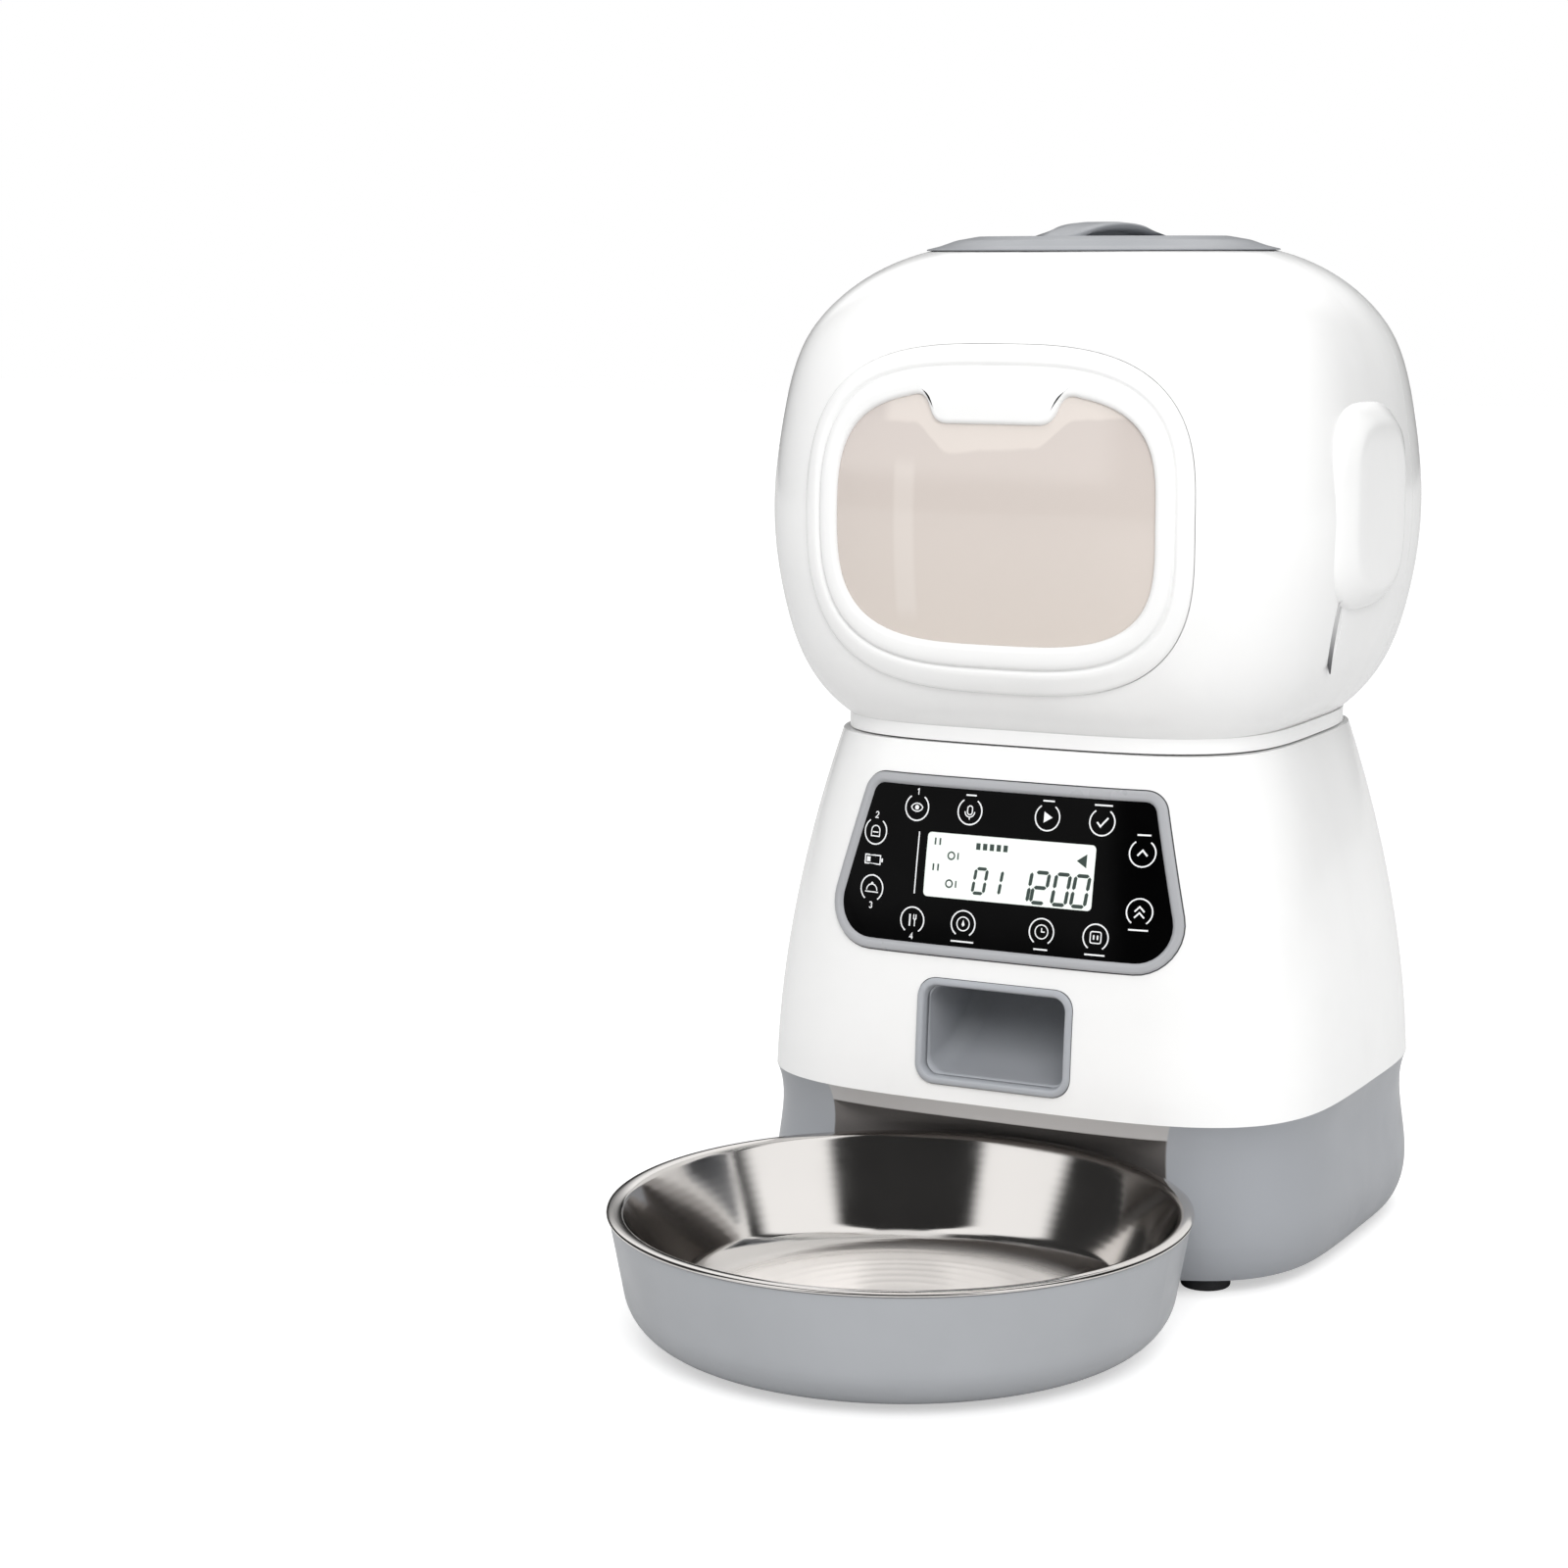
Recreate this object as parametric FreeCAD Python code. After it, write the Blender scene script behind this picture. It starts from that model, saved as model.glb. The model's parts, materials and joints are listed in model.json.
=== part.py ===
import FreeCAD, Part
import math
import os

V = FreeCAD.Vector

# Automatic pet feeder: a food tank with a window on a tapered base, and a steel bowl in front.
# Millimetres. +Z up, the front faces -Y. Everything is drawn about the tank's upright axis,
# with the floor at z = 0, and moved back by BODY_Y at the end, so that the row's origin lies
# under the middle of the whole feeder.

# ---- driving dimensions ------------------------------------------------------------------
WALL = 2.8                   # white mouldings
GAP = 0.4                    # running gap between parts that move apart

BODY_HALF_X = 98.0           # half width of the base at the grey seam
BODY_DEPTH_RATIO = 0.88      # depth of the base over its width
BODY_POWER = 4.0             # squareness of the base in plan
HEAD_DEPTH_RATIO = 0.89
HEAD_POWER = 3.8

SKIRT_BOTTOM = 5.0
SEAM_Z = 56.0                # grey skirt below, white housing above
NECK_Z = 171.0               # tank above, base below
BAND_TOP = 176.0             # top of the straight neck band
DOME_Z = 329.0               # where the lid sits
HANDLE_TOP = 338.0
RIB_HALF_X = 1.0             # rib under the handle's strap
MOUTH_R = 53.5               # hole in the top of the head
LID_R = 55.0                 # where the head's rounded outline ends under the lid
LID_RIM_R = 58.6
PARTING_Y = 32.0             # joint between the front and rear mouldings of the head

# (half width, height) points of the outlines seen from the front
SKIRT_OUTLINE = [(94.6, SKIRT_BOTTOM), (96.6, 9.0), (97.5, 30.0), (BODY_HALF_X, SEAM_Z)]
HOUSING_OUTLINE = [(BODY_HALF_X, SEAM_Z), (94.7, 94.0), (87.8, 132.0), (77.5, NECK_Z - GAP)]
HEAD_OUTLINE = [(75.6, BAND_TOP), (88.0, 191.0), (95.5, 214.0), (98.7, 245.0),
                (95.7, 275.5), (88.5, 301.6), (71.7, 321.5), (LID_R, DOME_Z)]

BOWL_AHEAD = 153.4           # bowl axis ahead of the tank axis
RIM_R = 89.7                 # steel rim
RIM_TOP = 40.7
RECESS_R = 92.5              # recess in the skirt round the bowl holder
RECESS_TOP = 50.7

BEZEL_TOP, BEZEL_BOTTOM = 160.0, 103.0
BEZEL_HALF_TOP, BEZEL_HALF_BOTTOM = 51.5, 65.5
BEZEL_WIDTH = 3.5
LENS_DEPTH = 1.9
LCD_X, LCD_HALF_X, LCD_LOW, LCD_HIGH = 1.7, 29.5, 121.7, 142.3
TRIM_PROUD = 1.3             # how far the bezel and the outlet's frame stand off the base
LENS_PROUD, LCD_PROUD = 0.3, 0.1
PANEL_TILT = 11.1            # degrees from upright
PANEL_Y = -77.0              # front face at the panel's middle
BOARD_DEPTH = 9.0            # circuit board behind the panel's face
# touch keys on the panel: (x, z)
KEYS = [(-32.7, 149.6), (-13.6, 149.7), (13.6, 149.7), (32.7, 149.6), (46.6, 140.7),
        (47.3, 122.5), (32.2, 113.7), (13.8, 113.8), (-13.8, 113.8), (-32.2, 113.7),
        (-47.3, 122.5), (-46.6, 140.7)]

OUTLET_HALF_X, OUTLET_LOW, OUTLET_HIGH = 24.4, 64.2, 93.2
OUTLET_FRAME = 2.8

WINDOW_X, WINDOW_Z = -1.6, 244.5
WINDOW_FRAME_HALF = (67.2, 55.5)
WINDOW_HALF = (55.0, 40.0)
WINDOW_Z_OPEN = 245.0
WINDOW_PROUD = 1.0           # how far the frame stands off the head
PANE_SUNK = 0.6
SLIT_R = 3.4                 # greatest half width of the recess below each ear cover

WELL_R = 60.0                # inside of the well that the rotor turns in
WELL_FLOOR = 148.5
WELL_BOTTOM = WELL_FLOOR - 2.6
ROTOR_R = 58.3
SHAFT_R = 4.0
BUSH_CLEARANCE = 0.05
DROP_HALF_X, DROP_FRONT, DROP_BACK = 22.0, -53.0, -29.0

MODULE = 1.0                 # gear module
OUTPUT_TEETH, IDLER_SMALL_TEETH, IDLER_BIG_TEETH, PINION_TEETH = 42, 12, 36, 10
IDLER_Y = MODULE * (OUTPUT_TEETH + IDLER_SMALL_TEETH) / 2
PINION_Y = IDLER_Y + MODULE * (IDLER_BIG_TEETH + PINION_TEETH) / 2

CELL_R, CELL_LENGTH = 16.9, 61.0   # one D cell
CELL_PITCH = 35.2
CELL_Z = 27.6
BOX_HALF_X, BOX_FRONT, BOX_REAR = 53.0, -14.0, 55.0
FOOT_X, FOOT_Y, FOOT_R = 66.0, 64.0, 8.0
JACK_X, JACK_Z = 40.0, 24.0          # power inlet, low at the back
SPEAKER_X, SPEAKER_Y = -69.0, 0.0

BODY_Y = (BOWL_AHEAD + RIM_R - BODY_HALF_X * BODY_DEPTH_RATIO) / 2


# ---- shapes ------------------------------------------------------------------------------
def box(x0, x1, y0, y1, z0, z1):
    return Part.makeBox(x1 - x0, y1 - y0, z1 - z0, V(x0, y0, z0))


def cylinder(radius, z0, z1, x=0, y=0):
    return Part.makeCylinder(radius, z1 - z0, V(x, y, z0))


def tube(outer, inner, z0, z1, x=0, y=0):
    return cylinder(outer, z0, z1, x, y).cut(cylinder(inner, z0 - 1, z1 + 1, x, y))


def rod(radius, start, end):
    return Part.makeCylinder(radius, (end - start).Length, start, end - start)


def superellipse(half_x, half_y, power, z, count=36):
    """Closed smooth wire at height z."""
    points = []
    for i in range(count):
        angle = 2 * math.pi * i / count
        across = (abs(math.cos(angle)) / half_x) ** power
        along = (abs(math.sin(angle)) / half_y) ** power
        radius = (across + along) ** (-1 / power)
        points.append(V(radius * math.cos(angle), radius * math.sin(angle), z))
    curve = Part.BSplineCurve()
    curve.interpolate(Points=points, PeriodicFlag=True)
    return Part.Wire([curve.toShape()])


def slab(half_x, half_y, power, z0, z1):
    wire = superellipse(half_x, half_y, power, z0)
    return Part.Face(wire).extrude(V(0, 0, z1 - z0))


def along_outline(outline, inset, count):
    """(half width, height) rows along a smooth outline, moved inwards by inset."""
    curve = Part.BSplineCurve()
    curve.interpolate([V(half, 0, z) for half, z in outline])
    rows = []
    for i in range(count):
        u = curve.FirstParameter + (curve.LastParameter - curve.FirstParameter) * i / (count - 1)
        point = curve.value(u)
        way = curve.tangent(u)[0]
        rows.append((point.x - way.z * inset, point.z + way.x * inset))
    return rows


def body_solid(outline, inset):
    """Solid of the base's outer form, moved inwards by inset."""
    wires = []
    for half, z in along_outline(outline, inset, 9):
        wires.append(superellipse(half, half * BODY_DEPTH_RATIO, BODY_POWER, z))
    return Part.makeLoft(wires, True, False)


def head_rows(inset):
    """Plan sizes of the head, which turns from a rounded square to a circle at the lid."""
    rows = []
    for half, z in along_outline(HEAD_OUTLINE, inset, 15):
        rise = min(1.0, max(0.0, (z - 290.0) / (DOME_Z - 290.0)))
        ratio = HEAD_DEPTH_RATIO + (1 - HEAD_DEPTH_RATIO) * rise ** 2
        power = HEAD_POWER - (HEAD_POWER - 2.0) * rise ** 2
        rows.append((half, half * ratio, power, z))
    return rows


def head_solid(inset):
    return Part.makeLoft([superellipse(*row) for row in head_rows(inset)], True, False)


def rounded_outline(corners, y):
    """Closed wire in the plane Y = y, from (x, z, corner radius) corners in order."""
    arcs = []
    for i, (x, z, radius) in enumerate(corners):
        here = V(x, y, z)
        before = V(corners[i - 1][0], y, corners[i - 1][1]).sub(here).normalize()
        ahead = corners[(i + 1) % len(corners)]
        after = V(ahead[0], y, ahead[1]).sub(here).normalize()
        half = before.getAngle(after) / 2
        reach = radius / math.tan(half)
        middle = here + (before + after).normalize() * (radius / math.sin(half) - radius)
        arcs.append((here + before * reach, middle, here + after * reach))
    edges = []
    for i, arc in enumerate(arcs):
        edges.append(Part.Arc(*arc).toShape())
        edges.append(Part.LineSegment(arc[2], arcs[(i + 1) % len(arcs)][0]).toShape())
    return Part.Wire(edges)


def through_front(corners, y0=-110.0, y1=-40.0):
    """Prism along Y through the front wall."""
    return Part.Face(rounded_outline(corners, y0)).extrude(V(0, y1 - y0, 0))


def rectangle(half_x, low, high, radius, middle=0.0):
    return [(middle - half_x, low, radius), (middle + half_x, low, radius),
            (middle + half_x, high, radius), (middle - half_x, high, radius)]


def window_prism(half, z, power):
    """Rounded window outline carried along Y through the front of the head."""
    prism = slab(half[0], half[1], power, 0, 70)
    prism.rotate(V(0, 0, 0), V(1, 0, 0), 90)
    prism.translate(V(WINDOW_X, -40, z))
    return prism


def revolve(points):
    """Solid of revolution about Z from (radius, z) points."""
    wire = Part.makePolygon([V(r, 0, z) for r, z in points + points[:1]])
    return Part.Face(wire).revolve(V(0, 0, 0), V(0, 0, 1), 360)


def rounded_box(x0, x1, y0, y1, z0, z1, radius):
    block = box(x0, x1, y0, y1, z0, z1)
    upright = [edge for edge in block.Edges if abs(edge.tangentAt(0).z) > 0.9]
    return block.makeFillet(radius, upright)


def both_sides(shape):
    return [shape, shape.mirror(V(0, 0, 0), V(1, 0, 0))]


def group(shapes):
    return Part.makeCompound(shapes)


# ---- gears -------------------------------------------------------------------------------
def gear(teeth, z0, z1, tooth_at, bore, backlash=0.16):
    """Spur gear with involute flanks and one tooth centred at the angle tooth_at, in degrees."""
    pitch_r = MODULE * teeth / 2
    base_r = pitch_r * math.cos(math.radians(20))
    tip_r = pitch_r + MODULE
    root_r = pitch_r - 1.2 * MODULE
    start_r = max(base_r, root_r)

    def involute(radius):
        angle = math.acos(min(1.0, base_r / radius))
        return math.tan(angle) - angle

    half_tooth = math.pi / (2 * teeth) - backlash / (2 * pitch_r) + involute(pitch_r)

    def flank(centre, side, radius):
        angle = centre + side * (half_tooth - involute(radius))
        return V(radius * math.cos(angle), radius * math.sin(angle), z0)

    def at_root(centre, side):
        angle = centre + side * half_tooth
        return V(root_r * math.cos(angle), root_r * math.sin(angle), z0)

    edges = []
    middle_r = (start_r + tip_r) / 2
    for i in range(teeth):
        centre = math.radians(tooth_at) + 2 * math.pi * i / teeth
        following = centre + 2 * math.pi / teeth
        rising = [flank(centre, -1, r) for r in (start_r, middle_r, tip_r)]
        falling = [flank(centre, 1, r) for r in (tip_r, middle_r, start_r)]
        if root_r < start_r:
            edges.append(Part.LineSegment(at_root(centre, -1), rising[0]).toShape())
        edges.append(Part.Arc(*rising).toShape())
        edges.append(Part.LineSegment(rising[2], falling[0]).toShape())
        edges.append(Part.Arc(*falling).toShape())
        last = falling[2]
        upcoming = flank(following, -1, start_r)
        if root_r < start_r:
            edges.append(Part.LineSegment(last, at_root(centre, 1)).toShape())
            last = at_root(centre, 1)
            upcoming = at_root(following, -1)
        edges.append(Part.LineSegment(last, upcoming).toShape())
    blank = Part.Face(Part.Wire(edges)).extrude(V(0, 0, z1 - z0))
    return blank.cut(cylinder(bore, z0 - 1, z1 + 1)) if bore else blank


# ---- head --------------------------------------------------------------------------------
def make_head(nodes):
    outer = head_solid(0.0)
    inner = head_solid(WALL)
    frame_cut = window_prism(WINDOW_FRAME_HALF, WINDOW_Z, 3.0)
    opening = window_prism(WINDOW_HALF, WINDOW_Z_OPEN, 3.4)
    tab = through_front([(WINDOW_X - 17.0, 275.0, 3.0), (WINDOW_X + 17.0, 275.0, 3.0),
                         (WINDOW_X + 23.0, 292.0, 1.0), (WINDOW_X - 23.0, 292.0, 1.0)])
    opening = opening.cut(tab)

    shell = outer.cut(inner)
    shell = shell.cut(slab(66.0, 62.7, 3.5, BAND_TOP - 2, BAND_TOP + 12))
    shell = shell.cut(cylinder(MOUTH_R, 300, DOME_Z + 5)).cut(frame_cut)
    for cutter in both_sides(make_slit()):
        shell = shell.cut(cutter)
    nodes["tank_front_shell"] = shell.common(box(-120, 120, -120, PARTING_Y - 0.1, 150, 350))
    nodes["tank_rear_shell"] = shell.common(box(-120, 120, PARTING_Y + 0.1, 120, 150, 350))

    proud = head_solid(-WINDOW_PROUD)
    nodes["window_frame"] = proud.cut(inner).common(frame_cut).cut(opening)
    nodes["window_pane"] = head_solid(PANE_SUNK).cut(inner).common(opening)

    nodes["mouth_ring"] = tube(MOUTH_R, 50.0, 318.0, DOME_Z)
    for name, pad in zip(("ear_cover_right", "ear_cover_left"), both_sides(make_ear())):
        nodes[name] = pad.cut(outer)


def make_slit():
    """Slim spindle-shaped recess below the ear cover."""
    low, high = V(90.9, -27.0, 194.0), V(97.6, -34.0, 221.5)
    half = (high - low).Length / 2
    arc = Part.Arc(V(0, 0, -half), V(SLIT_R, 0, 0), V(0, 0, half)).toShape()
    axis = Part.LineSegment(V(0, 0, half), V(0, 0, -half)).toShape()
    spindle = Part.Face(Part.Wire([arc, axis])).revolve(V(0, 0, 0), V(0, 0, 1), 360)
    spindle.Placement = FreeCAD.Placement((low + high) * 0.5,
                                          FreeCAD.Rotation(V(0, 0, 1), high - low))
    return spindle


def make_ear():
    """Raised pad on the side of the head, with a wide bevel round a flat face."""
    wires = []
    for x, half_y, half_z, y in ((93.0, 32.2, 33.0, -11.6), (97.0, 31.0, 32.0, -11.3),
                                 (100.4, 25.0, 27.5, -9.4), (101.2, 22.5, 25.5, -9.0)):
        wire = superellipse(half_z, half_y, 3.4, 0)
        wire.rotate(V(0, 0, 0), V(0, 1, 0), 90)
        wire.translate(V(x, y, 247.7))
        wires.append(wire)
    return Part.makeLoft(wires, True, True)


def make_tank_floor(nodes):
    """Neck band with the spigot that stands in the rotor's well, and the food funnel on it."""
    throat_r = WELL_R - 3.2
    solid = slab(76.6, 76.6 * 0.885, 3.6, NECK_Z + GAP / 2, BAND_TOP)
    solid = solid.fuse(cylinder(WELL_R - 1.0, NECK_Z - 5.0, NECK_Z + 2.0))
    solid = solid.cut(cylinder(throat_r, NECK_Z - 10, BAND_TOP + 5))
    screws = []
    for x in (-56.0, 56.0):
        for y in (-52.5, 52.5):
            solid = solid.cut(cylinder(1.5, NECK_Z, BAND_TOP + 1, x, y))
            solid = solid.cut(cylinder(3.0, NECK_Z, 173.2, x, y))
            screws.append(cylinder(2.7, 171.6, 173.2, x, y).fuse(cylinder(1.5, 173.2, 176.0, x, y)))
    nodes["tank_floor"] = solid
    nodes["tank_screws"] = group(screws)

    funnel_top = 195.0
    skin = []
    hollow = []
    for part in (0.0, 0.35, 0.7, 1.0):
        z = BAND_TOP + (funnel_top - BAND_TOP) * part
        half = throat_r + 2.2 + (84.0 - throat_r - 2.2) * part
        power = 2.0 + 1.6 * part
        ratio = 1.0 - (1 - HEAD_DEPTH_RATIO) * part
        skin.append(superellipse(half, half * ratio, power, z))
        hollow.append(superellipse(half - 2.2, (half - 2.2) * ratio, power, z))
    nodes["hopper_funnel"] = Part.makeLoft(skin, True, True).cut(Part.makeLoft(hollow, True, True))

    ridge = [V(-25, 0, 167.0), V(25, 0, 167.0), V(25, 0, 169.0), V(0, 0, 179.0), V(-25, 0, 169.0)]
    guard = Part.Face(Part.makePolygon(ridge + ridge[:1])).extrude(V(0, 40.0, 0))
    guard.translate(V(0, -57.5, 0))
    nodes["drop_guard"] = guard.common(cylinder(throat_r, 160, 190))


# ---- lid ---------------------------------------------------------------------------------
def make_lid(nodes):
    top = revolve([(0, 327.0), (24.0, 327.0), (30.0, 329.0), (35.5, 333.2), (41.0, 333.2),
                   (54.0, DOME_Z + 1.0), (LID_RIM_R, DOME_Z), (LID_RIM_R, DOME_Z - 0.4),
                   (LID_R, DOME_Z + 0.3), (49.2, DOME_Z + 0.3),
                   (49.2, 318.0), (46.2, 318.0), (46.2, 327.5), (41.5, 330.4), (37.0, 330.6),
                   (31.5, 326.4), (26.0, 324.6), (0, 324.6)])
    groove = tube(52.0, 48.2, 321.6, 324.4)
    nodes["lid"] = top.cut(groove)
    nodes["lid_seal"] = tube(49.6, 48.2, 321.6, 324.4)

    half_x = 8.0
    arch = [V(0, -40.0, 332.9), V(0, 0, HANDLE_TOP), V(0, 40.0, 332.9)]
    under = [V(0, 36.0, 332.9), V(0, 0, HANDLE_TOP - 3.2), V(0, -36.0, 332.9)]
    edges = [Part.Arc(*arch).toShape(), Part.LineSegment(arch[2], under[0]).toShape(),
             Part.Arc(*under).toShape(), Part.LineSegment(under[2], arch[0]).toShape()]
    strap = Part.Face(Part.Wire(edges)).extrude(V(2 * half_x, 0, 0))
    strap.translate(V(-half_x, 0, 0))
    rib = Part.Face(Part.Wire([edges[0], Part.LineSegment(arch[2], arch[0]).toShape()]))
    rib = rib.extrude(V(2 * RIB_HALF_X, 0, 0))
    rib.translate(V(-RIB_HALF_X, 0, 0))
    rib = rib.fuse(box(-RIB_HALF_X, RIB_HALF_X, -34.0, 34.0, 326.0, 333.2))
    nodes["lid_handle"] = strap.fuse(rib).cut(nodes["lid"])

    box_r = 22.0
    canister = tube(box_r, box_r - 1.6, 304.0, 324.6).fuse(cylinder(box_r, 323.0, 324.6))
    nodes["desiccant_box"] = canister
    nodes["desiccant_sachet"] = cylinder(box_r - 2.4, 305.0, 320.0)
    cover = cylinder(box_r + 1.5, 301.0, 303.6)
    for ring_r, count in ((7.0, 6), (14.0, 12)):
        for i in range(count):
            angle = 2 * math.pi * i / count
            x, y = ring_r * math.cos(angle), ring_r * math.sin(angle)
            cover = cover.cut(cylinder(1.3, 300, 305, x, y))
    grip = box(-12.0, 12.0, -1.0, 1.0, 298.0, 301.0)
    nodes["desiccant_cover"] = cover.fuse(grip)


# ---- base --------------------------------------------------------------------------------
def bezel_corners(inset):
    run = BEZEL_TOP - BEZEL_BOTTOM
    slope = (BEZEL_HALF_BOTTOM - BEZEL_HALF_TOP) / run
    side = inset * math.sqrt(1 + slope * slope)
    low, high = BEZEL_BOTTOM + inset, BEZEL_TOP - inset
    half_low = BEZEL_HALF_BOTTOM - side - slope * inset
    half_high = BEZEL_HALF_TOP - side + slope * inset
    return [(-half_low, low, 15.0 - inset), (half_low, low, 15.0 - inset),
            (half_high, high, 7.5 - inset), (-half_high, high, 7.5 - inset)]


def on_panel(shape, depth):
    """Stand a shape drawn round the origin, facing -Y, at a depth behind the panel's face."""
    shape = shape.copy()
    shape.translate(V(0, depth, 0))
    shape.rotate(V(0, 0, 0), V(1, 0, 0), -PANEL_TILT)
    shape.translate(V(0, PANEL_Y, (BEZEL_TOP + BEZEL_BOTTOM) / 2))
    return shape


def make_housing(nodes):
    outer = body_solid(HOUSING_OUTLINE, 0.0)
    inner = body_solid(HOUSING_OUTLINE, WALL)
    bottom = slab(BODY_HALF_X - WALL, (BODY_HALF_X - WALL) * BODY_DEPTH_RATIO, BODY_POWER,
                  SEAM_Z - 4, SEAM_Z + 4)
    bezel_cut = through_front(bezel_corners(0.0))
    lens_cut = through_front(bezel_corners(BEZEL_WIDTH))
    lcd_cut = through_front(rectangle(LCD_HALF_X, LCD_LOW, LCD_HIGH, 1.5, LCD_X))
    edge = OUTLET_FRAME
    frame_cut = through_front(rectangle(OUTLET_HALF_X + edge, OUTLET_LOW - edge,
                                        OUTLET_HIGH + edge, 6.0))
    outlet_cut = through_front(rectangle(OUTLET_HALF_X, OUTLET_LOW, OUTLET_HIGH, 4.0))

    housing = outer.cut(inner).cut(bottom).cut(bezel_cut).cut(frame_cut)
    nodes["base_housing"] = housing.cut(cylinder(WELL_R + 2.5, 160, 180))

    proud = body_solid(HOUSING_OUTLINE, -TRIM_PROUD)
    nodes["panel_bezel"] = proud.cut(inner).common(bezel_cut).cut(lens_cut)
    lens_back = body_solid(HOUSING_OUTLINE, LENS_DEPTH)
    lens_face = body_solid(HOUSING_OUTLINE, -LENS_PROUD).cut(lens_back)
    nodes["panel_lens"] = lens_face.common(lens_cut).cut(lcd_cut)
    screen = body_solid(HOUSING_OUTLINE, -LCD_PROUD).cut(lens_back)
    nodes["lcd_display"] = screen.common(lcd_cut)

    nodes["chute_frame"] = proud.cut(inner).common(frame_cut).cut(outlet_cut)
    nodes["chute"] = make_chute(inner)


def make_chute(inner):
    """Sloping duct from the slot under the rotor to the outlet."""
    wall = 1.8
    back, front = DROP_BACK, DROP_FRONT
    hollow = [(back, WELL_BOTTOM), (back, 112.0), (-74.0, OUTLET_LOW), (-95.0, OUTLET_LOW),
              (-95.0, OUTLET_HIGH), (-66.0, OUTLET_HIGH), (front - 4, 106.0), (front, 118.0),
              (front, WELL_BOTTOM)]
    skin = [(back + wall, WELL_BOTTOM), (back + wall, 111.2), (-73.0, OUTLET_LOW - wall),
            (-95.0, OUTLET_LOW - wall), (-95.0, OUTLET_HIGH + wall), (-66.8, OUTLET_HIGH + wall),
            (front - 5.8, 106.6), (front - wall, 118.4), (front - wall, WELL_BOTTOM)]

    def prism(profile, half_x):
        wire = Part.makePolygon([V(-half_x, y, z) for y, z in profile + profile[:1]])
        return Part.Face(wire).extrude(V(2 * half_x, 0, 0))

    duct = prism(skin, OUTLET_HALF_X + wall).cut(prism(hollow, OUTLET_HALF_X))
    return duct.common(inner)


def make_panel_inside(nodes):
    thick = 1.6
    board = box(-48.0, 48.0, 0, thick, -22.0, 19.0)
    nodes["control_board"] = on_panel(board, BOARD_DEPTH)
    lens_back = body_solid(HOUSING_OUTLINE, LENS_DEPTH)
    behind = on_panel(box(-100.0, 100.0, 0, 200.0, -100.0, 100.0), BOARD_DEPTH)
    pads = [rod(2.8, V(x, -100, z), V(x, -50, z)).common(lens_back).cut(behind) for x, z in KEYS]
    nodes["touch_pads"] = group(pads)
    screws = []
    for x in (-44.0, 44.0):
        for z in (-6.0, 6.0):
            screws.append(on_panel(rod(2.2, V(x, 0, z), V(x, 1.4, z)), BOARD_DEPTH + thick))
    nodes["board_screws"] = group(screws)
    capsule = rod(2.5, V(0, -3.2, 14.8), V(0, 0, 14.8))
    nodes["microphone"] = on_panel(capsule, BOARD_DEPTH)


def make_skirt(nodes):
    outer = body_solid(SKIRT_OUTLINE, 0.0)
    cavity = slab(BODY_HALF_X - WALL - 0.8, (BODY_HALF_X - WALL - 0.8) * BODY_DEPTH_RATIO,
                  BODY_POWER, 10.0, SEAM_Z + 5)
    low_cavity = slab(91.6, 91.6 * BODY_DEPTH_RATIO, BODY_POWER, 0, 10.0)
    recess = cylinder(RECESS_R, -5, RECESS_TOP, 0, -BOWL_AHEAD)
    pocket = cylinder(RECESS_R + 2.6, -5, RECESS_TOP + 2.6, 0, -BOWL_AHEAD)
    skirt = outer.cut(cavity.fuse(low_cavity).cut(pocket)).cut(recess)
    tongue_slot = box(-17.0, 17.0, -70.0, -50.0, 11.4, 16.4)
    skirt = skirt.cut(tongue_slot)
    posts = []
    for x, y in screw_places():
        side = 1 if x > 0 else -1
        post = cylinder(4.0, 8.0, 30.0, x, y)
        rib = box(min(x, x + side * 9), max(x, x + side * 9), y - 1.2, y + 1.2, 8.0, 30.0)
        posts.append(post.fuse(rib.common(outer)))
    skirt = skirt.fuse(posts)
    for x, y in screw_places():
        skirt = skirt.cut(cylinder(1.6, 0, 20.0, x, y))
    jack_hole = rod(4.2, V(JACK_X, 60, JACK_Z), V(JACK_X, 100, JACK_Z))
    nodes["base_skirt"] = skirt.cut(jack_hole).removeSplitter()

    plate = slab(91.4, 91.4 * BODY_DEPTH_RATIO, BODY_POWER, 5.3, 8.0).cut(pocket)
    plate = plate.cut(box(-BOX_HALF_X, BOX_HALF_X, BOX_FRONT, BOX_REAR, 0, 10))
    for x, y in screw_places():
        plate = plate.cut(cylinder(1.6, 0, 10, x, y)).cut(cylinder(3.2, 0, 6.9, x, y))
    for ring_r, count in ((0.0, 1), (5.0, 6)):
        for i in range(count):
            angle = 2 * math.pi * i / count
            x, y = SPEAKER_X + ring_r * math.cos(angle), SPEAKER_Y + ring_r * math.sin(angle)
            plate = plate.cut(cylinder(1.2, 0, 10, x, y))
    nodes["bottom_plate"] = plate
    screws = [cylinder(3.0, 5.4, 6.9, x, y).fuse(cylinder(1.6, 6.9, 20.0, x, y))
              for x, y in screw_places()]
    nodes["housing_screws"] = group(screws)
    feet = [cylinder(FOOT_R, 0, 5.3, x, y) for x in (-FOOT_X, FOOT_X) for y in (-FOOT_Y, FOOT_Y)]
    nodes["rubber_feet"] = group(feet)


def screw_places():
    return [(x, y) for x in (-84.5, 84.5) for y in (-30.0, 40.0)]


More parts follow.
